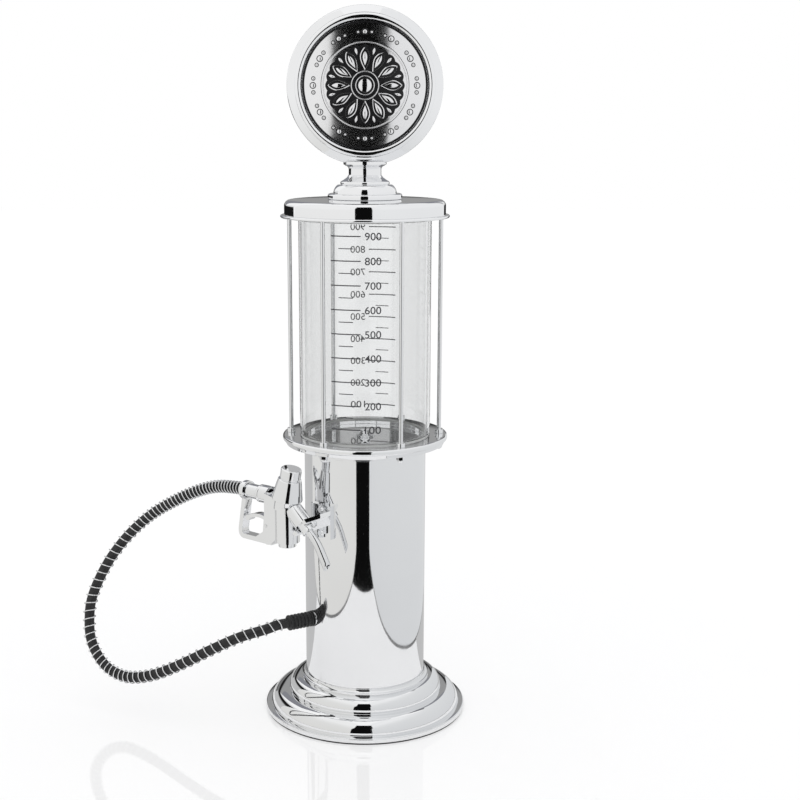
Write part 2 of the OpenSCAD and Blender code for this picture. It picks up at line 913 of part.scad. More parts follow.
function wire_ring(points, k, r, n) =
  let (
    last = len(points) - 1,
    dir = unit(points[min(k + 1, last)] - points[max(k - 1, 0)]),
    s = unit(cross(dir, points[min(k + 1, last)] - 2 * points[k] + points[max(k - 1, 0)]
      + 0.001 * [dir[1], dir[2], dir[0]])),
    w = cross(dir, s)
  )
  [for (j = [0:n - 1]) points[k] + r * (cos(360 * j / n) * s + sin(360 * j / n) * w)];

module wire(points, r, n = 6) {
  rings = [for (k = [1:len(points) - 2]) wire_ring(points, k, r, n)];
  polyhedron([for (one = rings) each one], tube_faces(len(rings), n));
}

module hose_spring() {
  color("silver")
    wire(coil_points, coil_wire_d / 2);
}

// ======== holder ========

module holder_screw_places() {
  rotate([0, 0, -gun_yaw])
    for (k = [-1, 1])
      translate([
        fork_mid[0] - hang_offset,
        -column_r,
        gun_z + fork_mid[1] + k * holder_screw_pitch / 2
      ])
        rotate([90, 0, 0])
          children();
}

module gun_holder() {
  color("silver")
    difference() {
      union() {
        rotate([0, 0, -gun_yaw])
          translate([
            fork_mid[0] - hang_offset - pad_w / 2,
            -column_r - pad_t,
            gun_z + fork_mid[1] - pad_tall / 2
          ])
            cube([pad_w, pad_t + 2, pad_tall]);
        spout_frame()
          translate([-fork_w / 2, -prong_l, boss_l + fork_gap])
            cube([fork_w, prong_l + gun_standoff - 1, fork_h]);
      }
      cylinder(r = column_r + slip, h = deck_z);
      spout_frame()
        translate([0, 0, boss_l]) {
          cylinder(r = waist_r + play, h = waist_l);
          translate([-waist_r - play, -prong_l - cut, 0])
            cube([2 * (waist_r + play), prong_l + cut, waist_l]);
        }
      holder_screw_places()
        cylinder(r = holder_screw_r + slip, h = 3 * pad_t, center = true);
    }
}

module holder_screws() {
  color("silver")
    holder_screw_places() {
      translate([0, 0, pad_t])
        cylinder(r1 = holder_screw_head_r, r2 = holder_screw_head_r - 0.8, h = 1.4, $fn = 32);
      translate([0, 0, pad_t - 10])
        cylinder(r = holder_screw_r, h = 10.5, $fn = 32);
    }
}

// ======== lid ========

module lid_cover() {
  rise = 0.4;
  outer = concat(
    [[lid_r, ring_top_z]],
    arc([lid_r - lid_corner_r, lid_top_z - rise - lid_corner_r], lid_corner_r, 0, 90, 14),
    [[neck_ring_r + 1, lid_top_z], [stud_d / 2 + slip, lid_top_z]]
  );
  inner = concat(
    [[stud_d / 2 + slip, lid_top_z - lid_wall], [neck_ring_r + 1, lid_top_z - lid_wall]],
    arc([lid_r - lid_corner_r, lid_top_z - rise - lid_corner_r], lid_corner_r - lid_wall, 90, 0, 14),
    [[lid_r - lid_wall, ring_top_z]]
  );
  color("silver")
    rotate_extrude()
      polygon(concat(outer, inner));
}

plug_r = mouth_r - play - 0.4;
seal_groove = 2;
seal_depth = 1;
seal_z = 1.2;
plug_z = ring_top_z - plug_depth;
plug_top_z = lid_top_z - lid_wall - 0.5;

// Cup under the lid that centres it in the filling mouth
module lid_plug() {
  color([0.12, 0.12, 0.12])
    difference() {
      translate([0, 0, plug_z])
        cylinder(r = plug_r, h = plug_top_z - plug_z);
      translate([0, 0, plug_z - cut])
        cylinder(r = plug_r - plug_wall, h = plug_top_z - plug_z - 1.6);
      cylinder(r = stud_d / 2 + 4.4, h = lid_top_z);
      ring(plug_r + 1, plug_r - seal_depth, plug_z + seal_z, seal_groove);
    }
}

module lid_seal() {
  color([0.85, 0.85, 0.82])
    ring(plug_r + play + 0.1, plug_r - seal_depth + slip, plug_z + seal_z + slip, seal_groove - 2 * slip);
}

// The sign's outer shape, as radius and distance from its middle plane
function sign_profile(grow = 0) = let (r = sign_r + grow, t = sign_band + grow) concat(
  [[r, 0], [r, t]],
  arc([r - 2.4, t], 2.4, 0, 60, 6),
  [[sign_recess_r + 5.5, sign_recess_t + 0.6 + grow]],
  arc([sign_recess_r + 2.9, sign_recess_t + 0.6 + grow], 2.4, 0, 180, 14)
);

module sign_shell() {
  t_in = sign_recess_t - sign_wall;
  rotate_extrude()
    polygon(concat(
      sign_profile(),
      [
        [sign_recess_r, sign_recess_t], [0, sign_recess_t], [0, t_in],
        [sign_r - 7, t_in], [sign_r - 3, sign_band], [sign_r - sign_wall, sign_band - 1],
        [sign_r - sign_wall, 0]
      ]
    ));
}

module sign_half(front) {
  difference() {
    translate([0, 0, sign_z])
      rotate([front ? 90 : -90, 0, 0])
        sign_shell();
    translate([0, 0, neck_top_z - 2])
      cylinder(r = stud_d / 2 + slip, h = 8);
  }
}

module sign_front() {
  color("silver")
    sign_half(true);
}

module sign_back() {
  color("silver")
    sign_half(false);
}

// Solid under the emblem's crowned face, raised by grow
module emblem_crown(r, grow) {
  ball_r = (r * r + face_crown * face_crown) / (2 * face_crown);
  intersection() {
    cylinder(r = r, h = emblem_h + face_crown + grow + cut);
    translate([0, 0, emblem_h + face_crown - ball_r])
      rotate([0, 0, 11])
        sphere(r = ball_r + grow, $fn = 360);
  }
}

// Crowned plate with a rosette of petals, three rings and a circle of beads
module sign_emblem() {
  plate_r = sign_recess_r - 0.3;
  figure_h = emblem_h + face_crown + relief_h;
  petal_in = 10.5;
  petal_out = 25;
  half_petal = (petal_out - petal_in) / 2;
  bead_circle = plate_r - 7;
  color([0.2, 0.2, 0.22])
    translate([0, -sign_recess_t - slip, sign_z])
      rotate([90, 0, 0]) {
        emblem_crown(plate_r, 0);
        intersection() {
          emblem_crown(plate_r, relief_h);
          union() {
            for (r = [plate_r - 1, plate_r - 13.2, 9.8])
              ring(r, r - 1.2, 0, figure_h);
            cylinder(r = 5, h = figure_h);
            around(bead_count, bead_circle)
              cylinder(r = 1.4, h = figure_h, $fn = 24);
            around(petal_count, (petal_in + petal_out) / 2, 90)
              linear_extrude(figure_h)
                polygon([
                  [-half_petal, 0], [half_petal * 0.2, -2.8], [half_petal * 0.8, -1.6],
                  [half_petal, 0], [half_petal * 0.8, 1.6], [half_petal * 0.2, 2.8]
                ]);
          }
        }
      }
}

// Turned neck with a saddle on top that cradles the sign
module neck() {
  foot = lid_top_z;
  waist_z = foot + neck_h - 6.5;
  color("silver")
    difference() {
      rotate_extrude()
        polygon(concat(
          [[stud_d / 2 + slip, foot], [neck_ring_r - 0.8, foot]],
          arc([neck_ring_r - 0.8, foot + 0.8], 0.8, -90, 0, 4),
          arc([neck_ring_r - 1.4, foot + 2.4], 1.4, 0, 90, 6),
          [[neck_ring_r - 3.6, foot + 4]],
          arc([neck_waist_r + 3.6, foot + 4], 7, 0, 55, 10),
          arc([neck_waist_r + 4.4, foot + 11], 1.4, -60, 75, 8),
          [
            [neck_waist_r + 3.6, foot + 13],
            [neck_waist_r + 1.4, foot + 14.6],
            [neck_waist_r, waist_z],
            [neck_waist_r, waist_z + 3.4]
          ],
          arc([neck_waist_r + 2.6, waist_z + 3.6], 2.6, 180, 100, 6),
          [
            [neck_flare_r, foot + neck_h + 0.6],
            [neck_flare_r, foot + neck_h + 2.6],
            [stud_d / 2 + slip, foot + neck_h + 2.6]
          ]
        ));
      for (turn = [90, -90])
        translate([0, 0, sign_z])
          rotate([turn, 0, 0])
            rotate_extrude()
              polygon(concat(sign_profile(slip), [[0, sign_recess_t], [0, 0]]));
    }
}

module neck_stud() {
  color([0.6, 0.6, 0.62])
    translate([0, 0, lid_top_z - 6])
      cylinder(r = stud_d / 2, h = neck_h + 14);
}

module stud_nuts() {
  nut_r = stud_d / 2 + 2.2;
  nut_h = 3.9;
  inside_sign_z = sign_z - sqrt(pow(sign_r - sign_wall, 2) - pow(nut_r, 2)) + 0.6;
  color([0.6, 0.6, 0.62])
    for (z = [lid_top_z - lid_wall - nut_h - cut, inside_sign_z])
      translate([0, 0, z])
        difference() {
          cylinder(r = nut_r, h = nut_h, $fn = 6);
          translate([0, 0, -cut])
            cylinder(r = stud_d / 2 + slip, h = nut_h + 2 * cut);
        }
}

// ======== nozzle ========

module along_x(r, x0, x1, z = 0) {
  translate([x0, 0, z])
    rotate([0, 90, 0])
      cylinder(r = r, h = x1 - x0);
}

// Flat side of the body: handle root, front edge, toe and window edge
cheek_outline = [
  [body_back, 12], [-10, 11.5], [1.5, 4], [2, -4], [-2, -17], [-12, toe_z], [toe_x, toe_z],
  [toe_x, toe_z + 2.6], [-19.5, -18.5], [-18.4, -8], [body_back, -3]
];

module gun_body() {
  color("silver")
    difference() {
      union() {
        gun_frame() {
          rotate([90, 0, 0])
            linear_extrude(cheek_w, center = true)
              polygon(cheek_outline);
          translate([barrel_x, 0, -barrel_depth])
            cylinder(r = barrel_r, h = barrel_depth + 2);
          along_x(spigot_r, union_back + 1, body_back + 2, handle_h);
        }
        cap_frame()
          translate([0, 0, -7])
            cylinder(r = barrel_r, h = 7);
        spout_frame() {
          cylinder(r = boss_r, h = boss_l);
          cylinder(r = waist_r, h = boss_l + waist_l);
        }
      }
      cap_frame() {
        translate([0, 0, -5])
          cylinder(r = barrel_bore_r, h = 5 + cut);
        cylinder(r = 3 * barrel_r, h = 2 * barrel_r);
      }
      gun_frame() {
        translate([barrel_x, 0, -barrel_depth - cut])
          cylinder(r = barrel_bore_r, h = barrel_depth + seat_z + seat_h + cut);
        along_x(passage_r, union_back, barrel_x, handle_h);
        translate([toe_x, -slot_w / 2, slot_foot])
          cube([slot_front - toe_x, slot_w, slot_h]);
        translate([pivot[0], 0, pivot[1]])
          rotate([90, 0, 0])
            cylinder(r = pin_d / 2 + slip, h = cheek_w + 2, center = true, $fn = 32);
        translate([guard_screw_x, 0, toe_z - cut])
          cylinder(r = guard_screw_r + slip, h = guard_screw_l - 1, $fn = 24);
      }
      spout_frame()
        translate([0, 0, -2])
          cylinder(r = passage_r, h = boss_l + waist_l + 2 + cut);
    }
}

module union_nut() {
  color("silver")
    gun_frame()
      difference() {
        along_x(union_r, union_back, body_back - slip, handle_h);
        along_x(spigot_r + slip, union_back - cut, body_back + cut, handle_h);
      }
}

module hose_coupling() {
  color("silver")
    gun_frame()
      difference() {
        along_x(coupling_r, coupling_back, union_back - slip, handle_h);
        along_x(passage_r, coupling_back + 2, union_back + cut, handle_h);
      }
}

module cap_gasket() {
  color([0.1, 0.1, 0.1])
    cap_frame()
      ring(barrel_r - 0.3, barrel_bore_r + 0.6, 0, cap_gasket_h);
}

module valve_cap() {
  color("silver")
    cap_frame()
      difference() {
        union() {
          translate([0, 0, cap_gasket_h])
            cylinder(r1 = cap_r, r2 = cap_top_r + 0.9, h = cap_cone_h);
          translate([0, 0, cap_gasket_h + cap_cone_h])
            cylinder(r = cap_top_r, h = cap_top_h);
          translate([0, 0, -cap_spigot_l])
            cylinder(r = barrel_bore_r - slip, h = cap_spigot_l + 1);
        }
        translate([0, 0, -cap_spigot_l - cut])
          cylinder(r = barrel_bore_r - 1.2, h = cap_cone_h);
      }
}

module valve_seat() {
  color([0.15, 0.15, 0.15])
    gun_frame()
      translate([barrel_x, 0, 0])
        ring(barrel_bore_r - slip, passage_r, seat_z, seat_h - slip);
}

module valve_stem() {
  color([0.8, 0.75, 0.55])
    gun_frame()
      translate([barrel_x, 0, 0]) {
        translate([0, 0, seat_z - play - head_h])
          cylinder(r = head_r, h = head_h);
        translate([0, 0, stem_foot])
          cylinder(r = stem_r, h = seat_z - play - head_h - stem_foot + cut, $fn = 32);
        translate([0, 0, stem_collar_z])
          cylinder(r = stem_collar_r, h = stem_collar_h);
      }
}

// Return spring round the stem's foot
module valve_spring() {
  wire_d = 0.6;
  turns = 4;
  rings = 12;
  foot = -barrel_depth - plug_well + wire_d;
  height = stem_collar_z - wire_d - foot;
  points = [for (k = [0:turns * rings + 2])
    let (a = 360 * (k - 1) / rings)
    [2.5 * cos(a), 2.5 * sin(a), foot + height * (k - 1) / (turns * rings)]];
  color([0.7, 0.7, 0.72])
    gun_frame()
      translate([barrel_x, 0, 0])
        wire(points, wire_d / 2);
}

module bottom_plug() {
  color("silver")
    gun_frame()
      translate([barrel_x, 0, -barrel_depth])
        difference() {
          union() {
            translate([0, 0, -plug_head_h])
              cylinder(r = plug_head_r, h = plug_head_h - slip);
            translate([0, 0, -1])
              cylinder(r = barrel_bore_r - slip, h = 1 + plug_spigot_l);
          }
          translate([0, 0, -plug_well])
            cylinder(r = 3.4, h = plug_well + plug_spigot_l + cut);
        }
}

module spout_nut() {
  color("silver")
    spout_frame()
      ring(spout_nut_r, spout_d / 2 + slip, boss_l + waist_l + slip, spout_nut_l);
}

module spout() {
  start = boss_l + waist_l + slip;
  bend_z = start + spout_lead;
  bend_step_count = 8;
  bend_end = [spout_bend_r * (1 - cos(spout_bend)), bend_z + spout_bend_r * sin(spout_bend)];
  path = concat(
    [[0, start, 0]],
    [for (i = [0:bend_step_count])
      let (a = spout_bend * i / bend_step_count)
      [spout_bend_r * (1 - cos(a)), bend_z + spout_bend_r * sin(a), a]],
    [[bend_end[0] + spout_tail * sin(spout_bend), bend_end[1] + spout_tail * cos(spout_bend), spout_bend]]
  );
  color("silver")
    spout_frame()
      pipe(path, spout_d / 2, passage_r, 32, spout_cut);
}

// ======== trigger ========

module trigger() {
  color("silver")
    gun_frame()
      difference() {
        union() {
          translate([pivot[0], 0, pivot[1]])
            rotate([90, 0, 0])
              cylinder(r = hub_r, h = hub_w, center = true);
          translate([lever_center[0], 0, lever_center[1]])
            rotate([90, 0, 0])
              rotate([0, 0, lever_a0])
                rotate_extrude(angle = lever_a1 - lever_a0, $fn = 180)
                  translate([lever_r - lever_h / 2, -lever_w / 2])
                    square([lever_h, lever_w]);
          translate([
            lever_center[0] + lever_r * cos(lever_a1),
            0,
            lever_center[1] + lever_r * sin(lever_a1)
          ])
            rotate([90, 0, 0])
              cylinder(r = lever_tip_r, h = lever_w, center = true);
          for (k = [-1, 1])
            translate([
              pivot[0],
              k * (hub_w - finger_w) / 2 - finger_w / 2,
              pivot[1] - finger_h / 2
            ])
              cube([finger_l, finger_w, finger_h]);
        }
        translate([pivot[0], 0, pivot[1]])
          rotate([90, 0, 0])
            cylinder(r = pin_d / 2 + pin_play, h = hub_w + 2, center = true);
      }
}

module trigger_pin() {
  color([0.7, 0.7, 0.72])
    gun_frame()
      translate([pivot[0], 0, pivot[1]])
        rotate([90, 0, 0])
          cylinder(r = pin_d / 2, h = cheek_w + 0.6, center = true);
}

// Bent bar from an eye on the coupling down and along to a tab under the toe
module trigger_guard() {
  inner_z = guard_foot_z + guard_h;
  outer_corner = [guard_foot_x + guard_corner_r, guard_foot_z + guard_corner_r];
  outline = concat(
    [[coupling_back, handle_h - coupling_r], [guard_foot_x, outer_corner[1] + 2]],
    arc(outer_corner, guard_corner_r, 180, 270, 8),
    [
      [guard_tab_end, guard_foot_z], [guard_tab_end, guard_foot_z + guard_tab_h],
      [toe_x - slip, guard_foot_z + guard_tab_h], [toe_x - slip, inner_z]
    ],
    arc(outer_corner, guard_corner_r - guard_h, 270, 180, 6),
    [
      [guard_foot_x + guard_h, outer_corner[1] + 2],
      [coupling_back + guard_eye_l, handle_h - coupling_r]
    ]
  );
  color("silver")
    gun_frame()
      difference() {
        union() {
          rotate([90, 0, 0])
            linear_extrude(guard_w, center = true)
              polygon(outline);
          along_x(guard_eye_r, coupling_back, coupling_back + guard_eye_l, handle_h);
        }
        along_x(coupling_r + slip, coupling_back - cut, coupling_back + guard_eye_l + cut, handle_h);
        translate([guard_screw_x, 0, guard_foot_z - cut])
          cylinder(r = guard_screw_r + slip, h = guard_screw_l - 1, $fn = 24);
      }
}

module guard_screw() {
  color("silver")
    gun_frame()
      translate([guard_screw_x, 0, guard_foot_z]) {
        translate([0, 0, -guard_screw_head_h])
          cylinder(r = guard_screw_head_r, h = guard_screw_head_h, $fn = 32);
        cylinder(r = guard_screw_r, h = guard_screw_l, $fn = 24);
      }
}

base_pad();
base_plate();
base_screws();
base_shell();
foot_ring();
column_tube();
cove_ring();
deck_flange();
tie_rods();
acorn_nuts();
rod_collars();
rod_screws();
canister_gasket();
canister();
top_seal();
top_ring();
outlet_fitting();
outlet_strainer();
outlet_washer();
outlet_nut();
drain_tube();
hose_gland();
gland_nut();
hose_sleeve();
hose();
hose_spring();
gun_holder();
holder_screws();
lid_cover();
lid_plug();
lid_seal();
neck();
neck_stud();
stud_nuts();
sign_front();
sign_back();
sign_emblem();
gun_body();
hose_coupling();
union_nut();
cap_gasket();
valve_cap();
valve_seat();
valve_stem();
valve_spring();
bottom_plug();
spout_nut();
spout();
trigger();
trigger_pin();
trigger_guard();
guard_screw();
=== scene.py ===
"""Looks of a countertop drink dispenser shaped like a vintage fuel pump.

Lengths in the making are millimetres; every mesh is brought to metres at the end.
Front is -Y, up is +Z, and the base stands on z = 0.
"""

import json
import math

import bmesh
import bpy
from mathutils import Matrix, Vector


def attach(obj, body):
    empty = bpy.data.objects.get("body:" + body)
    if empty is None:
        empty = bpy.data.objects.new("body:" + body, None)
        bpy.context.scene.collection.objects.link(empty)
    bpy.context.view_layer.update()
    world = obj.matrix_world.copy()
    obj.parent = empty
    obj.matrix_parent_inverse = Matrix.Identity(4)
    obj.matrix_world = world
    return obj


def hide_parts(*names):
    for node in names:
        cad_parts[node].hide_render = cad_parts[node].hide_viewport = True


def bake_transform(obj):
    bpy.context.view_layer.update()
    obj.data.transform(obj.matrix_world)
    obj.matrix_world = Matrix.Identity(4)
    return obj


MM = 0.001
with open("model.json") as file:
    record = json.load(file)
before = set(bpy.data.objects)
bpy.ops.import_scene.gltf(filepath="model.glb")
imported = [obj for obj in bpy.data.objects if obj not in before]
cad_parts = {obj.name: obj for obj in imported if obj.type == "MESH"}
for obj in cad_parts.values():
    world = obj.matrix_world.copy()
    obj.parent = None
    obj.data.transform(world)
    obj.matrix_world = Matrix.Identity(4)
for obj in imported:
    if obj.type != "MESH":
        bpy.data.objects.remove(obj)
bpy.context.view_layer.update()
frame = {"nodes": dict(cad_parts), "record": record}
bodies = frame["record"]["behaviour"]["bodies"]
scene = bpy.context.scene
scene.view_settings.view_transform = "Standard"


def body_of(node):
    return next(body for body, members in bodies.items() if node in members)


# ---------------------------------------------------------------- camera

# Fitted to the photo: 422 mm up, 970 mm in front and looking 11.7 degrees down.
camera_data = bpy.data.cameras.new("camera")
camera_data.sensor_width = 36
camera_data.lens = 62.6
camera_data.shift_x = 0.04375
camera_data.shift_y = 0.01425
camera_data.clip_start = 0.05
camera = bpy.data.objects.new("camera", camera_data)
camera.location = (0, -0.9701, 0.4219)
camera.rotation_euler = (math.radians(90 - 11.688), 0, 0)
scene.collection.objects.link(camera)
scene.camera = camera

# ---------------------------------------------------------------- frames of the pieces

GUN_YAW = math.radians(40)
HANDLE_Z = 6.5  # over the nozzle's middle
gun_frame = Matrix.Rotation(-GUN_YAW, 4, "Z") @ Matrix.Translation((-15.4, -62.5, 160))
cap_frame = gun_frame @ Matrix.Translation((-3, 0, HANDLE_Z)) @ Matrix.Rotation(math.radians(12), 4, "Y")
spout_frame = gun_frame @ Matrix.Translation((3, 0, 0)) @ Matrix.Rotation(math.radians(132), 4, "Y")
handle_frame = gun_frame @ Matrix.Translation((0, 0, HANDLE_Z)) @ Matrix.Rotation(math.radians(90), 4, "Y")
GLAND_TURN, GLAND_Z = math.radians(210), 74
gland_frame = (
    Matrix.Rotation(GLAND_TURN, 4, "Z")
    @ Matrix.Translation((0, 0, GLAND_Z))
    @ Matrix.Rotation(math.radians(90), 4, "Y")
)
SIGN_Z = 447
sign_front_frame = Matrix.Translation((0, 0, SIGN_Z)) @ Matrix.Rotation(math.radians(90), 4, "X")
sign_back_frame = (
    Matrix.Translation((0, 0, SIGN_Z))
    @ Matrix.Rotation(math.pi, 4, "Z")
    @ Matrix.Rotation(math.radians(90), 4, "X")
)

# ---------------------------------------------------------------- sizes that pieces share

COLUMN_R, COLUMN_BORE = 43.2, 42
RING_BORE = COLUMN_R + 0.05
COVE_FOOT = 24.9
DECK_FOOT, DECK_TOP = 199.5, 206
WELL_R, WELL_Z = 41, 203.5
CANISTER_R, CANISTER_BORE = 46.2, 44.2
CANISTER_FOOT, CANISTER_TOP = 207, 357
MOUTH_FOOT, MOUTH_TOP = 358.5, 360.5
EMBLEM_R, EMBLEM_BACK = 42, 8.85
FACE_EDGE, FACE_CROWN = 10.05, 3.2

# ---------------------------------------------------------------- materials


class Finish:
    """A material under construction: the shader's sockets plus noise read from object coordinates."""

    def __init__(self, name, color, rough, metallic=0.0, **sockets):
        self.material = bpy.data.materials.new(name)
        self.material.use_nodes = True
        self.tree = self.material.node_tree
        self.shader = self.tree.nodes["Principled BSDF"]
        self.shader.inputs["Base Color"].default_value = (*color, 1)
        self.shader.inputs["Roughness"].default_value = rough
        self.shader.inputs["Metallic"].default_value = metallic
        for socket, value in sockets.items():
            self.shader.inputs[socket.replace("_", " ")].default_value = value
        self.place = self.tree.nodes.new("ShaderNodeTexCoord").outputs["Object"]

    def node(self, kind, **values):
        made = self.tree.nodes.new("ShaderNode" + kind)
        for key, value in values.items():
            setattr(made, key, value)
        return made

    def noise(self, scale, detail=4.0, stretch=(1, 1, 1)):
        turn = self.node("Mapping")
        turn.inputs["Scale"].default_value = stretch
        self.tree.links.new(self.place, turn.inputs["Vector"])
        made = self.node("TexNoise")
        made.inputs["Scale"].default_value = scale
        made.inputs["Detail"].default_value = detail
        self.tree.links.new(turn.outputs["Vector"], made.inputs["Vector"])
        return made.outputs["Fac"]

    def span(self, value, low, high, start=0.3, end=0.7):
        made = self.node("MapRange")
        for socket, number in (("From Min", start), ("From Max", end), ("To Min", low), ("To Max", high)):
            made.inputs[socket].default_value = number
        self.tree.links.new(value, made.inputs["Value"])
        return made.outputs["Result"]

    def roughness(self, value):
        self.tree.links.new(value, self.shader.inputs["Roughness"])
        return self

    def color_between(self, value, low, high):
        made = self.node("ValToRGB")
        made.color_ramp.elements[0].color = (*low, 1)
        made.color_ramp.elements[1].color = (*high, 1)
        made.color_ramp.elements[0].position = 0.3
        made.color_ramp.elements[1].position = 0.7
        self.tree.links.new(value, made.inputs["Fac"])
        self.tree.links.new(made.outputs["Color"], self.shader.inputs["Base Color"])
        return self

    def bump(self, value, strength, depth):
        made = self.node("Bump")
        made.inputs["Strength"].default_value = strength
        made.inputs["Distance"].default_value = depth
        self.tree.links.new(value, made.inputs["Height"])
        self.tree.links.new(made.outputs["Normal"], self.shader.inputs["Normal"])
        return self


def polished_chrome(name, rough=0.035, color=(0.90, 0.905, 0.915), wave=0.05):
    """Chrome plate: a mirror with faint polishing haze, handling marks and a slight waviness."""
    made = Finish(name, color, rough, metallic=1.0)
    made.roughness(made.span(made.noise(38, 5), rough * 0.6, rough * 1.9))
    made.color_between(made.noise(14, 3), tuple(c * 0.965 for c in color), color)
    made.bump(made.noise(55, 2), wave, 0.00025)
    return made.material


def turned_steel(name, color=(0.66, 0.67, 0.69), rough=0.24):
    """Bright turned steel with fine lathe marks across its axis."""
    made = Finish(name, color, rough, metallic=1.0)
    marks = made.noise(900, 2, (0.2, 0.2, 3.0))
    made.roughness(made.span(marks, rough * 0.75, rough * 1.35))
    made.color_between(made.noise(60, 4), tuple(c * 0.88 for c in color), color)
    made.bump(marks, 0.1, 0.00005)
    return made.material


def black_rubber_finish(name, color=(0.011, 0.011, 0.012), rough=0.42):
    """Hose rubber: near black, with extrusion grain and dusty wear."""
    made = Finish(name, color, rough, Specular_IOR_Level=0.45)
    made.color_between(made.noise(240, 6), tuple(c * 0.7 for c in color), tuple(c * 2.2 for c in color))
    made.roughness(made.span(made.noise(420, 5), rough - 0.1, rough + 0.16))
    made.bump(made.noise(1800, 4), 0.35, 0.00012)
    return made.material


def clear_finish(name, color, rough, ior, haze=0.02):
    made = Finish(name, color, rough, Transmission_Weight=1.0, IOR=ior)
    made.roughness(made.span(made.noise(30, 4), rough, rough + haze))
    made.bump(made.noise(12, 2), 0.02, 0.0004)
    return made.material


def moulded_finish(name, color, rough, spread=1.6):
    """Moulded plastic or silicone: slight colour drift, fine moulded grain."""
    made = Finish(name, color, rough, Specular_IOR_Level=0.4)
    made.color_between(made.noise(90, 4), color, tuple(min(1, c * spread) for c in color))
    made.roughness(made.span(made.noise(500, 4), rough - 0.06, rough + 0.1))
    made.bump(made.noise(2200, 3), 0.2, 0.00006)
    return made.material


chrome = polished_chrome("chrome")
sign_chrome = polished_chrome("emblem_chrome", rough=0.07, color=(0.86, 0.86, 0.87), wave=0.10)
bright_steel = polished_chrome("bright_steel", rough=0.06, color=(0.84, 0.845, 0.855))
plain_steel = turned_steel("plain_steel")
brass = turned_steel("brass", color=(0.72, 0.52, 0.24), rough=0.22)
clear_acrylic = clear_finish("clear_acrylic", (0.895, 0.90, 0.90), 0.012, 1.49)
clear_tube = clear_finish("clear_tube", (0.93, 0.95, 0.95), 0.08, 1.42, haze=0.08)
black_rubber = black_rubber_finish("black_rubber")
clear_silicone = moulded_finish("clear_silicone", (0.62, 0.63, 0.62), 0.36, 1.15)
black_plastic = moulded_finish("black_plastic", (0.02, 0.02, 0.022), 0.34)
# The emblem's black print; the same black also paints the shade of the deep gap, on the ring at the emblem's
# edge.
black_enamel_and_shade = moulded_finish("black_enamel_and_shade", (0.004, 0.004, 0.005), 0.3, 1.5)
scale_ink = moulded_finish("scale_ink", (0.05, 0.05, 0.055), 0.45)

# ---------------------------------------------------------------- mesh making


def add_piece(name, mesh, material, smooth=32):
    mesh.materials.clear()
    mesh.materials.append(material)
    mesh.shade_smooth()
    if smooth < 180:
        mesh.set_sharp_from_angle(angle=math.radians(smooth))
    piece = bpy.data.objects.new(name, mesh)
    scene.collection.objects.link(piece)
    return piece


def settle(piece, body, nodes=()):
    """Hangs a finished piece on its body, if one is given, and lets it stand for CAD nodes."""
    if body:
        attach(piece, body)
    if nodes:
        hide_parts(*nodes)
    return piece


def mesh_from(name, points, faces, place=None, outward=True):
    mesh = bpy.data.meshes.new(name)
    mesh.from_pydata([tuple(p) for p in points], [], faces)
    shape = bmesh.new()
    shape.from_mesh(mesh)
    if outward:
        bmesh.ops.recalc_face_normals(shape, faces=shape.faces)
    if place is not None:
        bmesh.ops.transform(shape, matrix=place, verts=shape.verts)
    bmesh.ops.scale(shape, vec=(MM, MM, MM), verts=shape.verts)
    shape.to_mesh(mesh)
    shape.free()
    return mesh


def arc(cx, cz, r, start, end, steps=8):
    return [
        (
            cx + r * math.cos(math.radians(start + (end - start) * i / steps)),
            cz + r * math.sin(math.radians(start + (end - start) * i / steps)),
        )
        for i in range(steps + 1)
    ]


def softened(outline, radius, closed=True, least=24, steps=3):
    """Rounds the corners of an outline and keeps short straight runs beside each."""
    count = len(outline)
    made = []
    for i, here in enumerate(outline):
        if not closed and i in (0, count - 1):
            made.append(here)
            continue
        here = Vector(here)
        before, after = Vector(outline[i - 1]) - here, Vector(outline[(i + 1) % count]) - here
        if min(before.length, after.length) < 1e-6:
            continue
        turn = math.degrees(math.pi - before.angle(after))
        if turn < least or here.x < 1e-6:
            made.append(tuple(here))
            continue
        reach = min(radius, before.length * 0.45, after.length * 0.45)
        p, q = here + before.normalized() * reach, here + after.normalized() * reach
        if before.length > 4 * reach:
            made.append(tuple(p + before.normalized() * reach * 0.25))
        for s in range(steps + 1):
            t = s / steps
            made.append(tuple((1 - t) ** 2 * p + 2 * t * (1 - t) * here + t**2 * q))
        if after.length > 4 * reach:
            made.append(tuple(q + after.normalized() * reach * 0.25))
    return made


def lathe(name, outline, place=None, turns=160, closed=True):
    """Turns an outline of (radius, height) about z. Points on the axis become one point."""
    points, rings = [], []
    for r, z in outline:
        if r < 1e-6:
            rings.append([len(points)])
            points.append((0, 0, z))
        else:
            rings.append([len(points) + k for k in range(turns)])
            points += [
                (r * math.cos(2 * math.pi * k / turns), r * math.sin(2 * math.pi * k / turns), z)
                for k in range(turns)
            ]
    faces = []
    for a, b in zip(rings, rings[1:] + (rings[:1] if closed else [])):
        if len(a) == 1 and len(b) == 1:
            continue
        for k in range(turns):
            n = (k + 1) % turns
            face = [a[k % len(a)], a[n % len(a)], b[n % len(b)], b[k % len(b)]]
            faces.append(list(dict.fromkeys(face)))
    return mesh_from(name, points, faces, place)


def turned(name, outline, material, body, nodes=(), place=None, turns=160, soft=0.3):
    """A lathed piece with softened corners, on its body."""
    shape = lathe(name, softened(outline, soft) if soft else outline, place, turns)
    return settle(add_piece(name, shape, material), body, nodes)


def side_frames(path):
    """Tangent and two side vectors at each point of a path, carried along without twist."""
    count = len(path)
    made, side = [], None
    for i in range(count):
        ahead = (path[min(i + 1, count - 1)] - path[max(i - 1, 0)]).normalized()
        if side is None:
            side = ahead.orthogonal()
        side = (side - side.dot(ahead) * ahead).normalized()
        made.append((ahead, side, ahead.cross(side)))
    return made


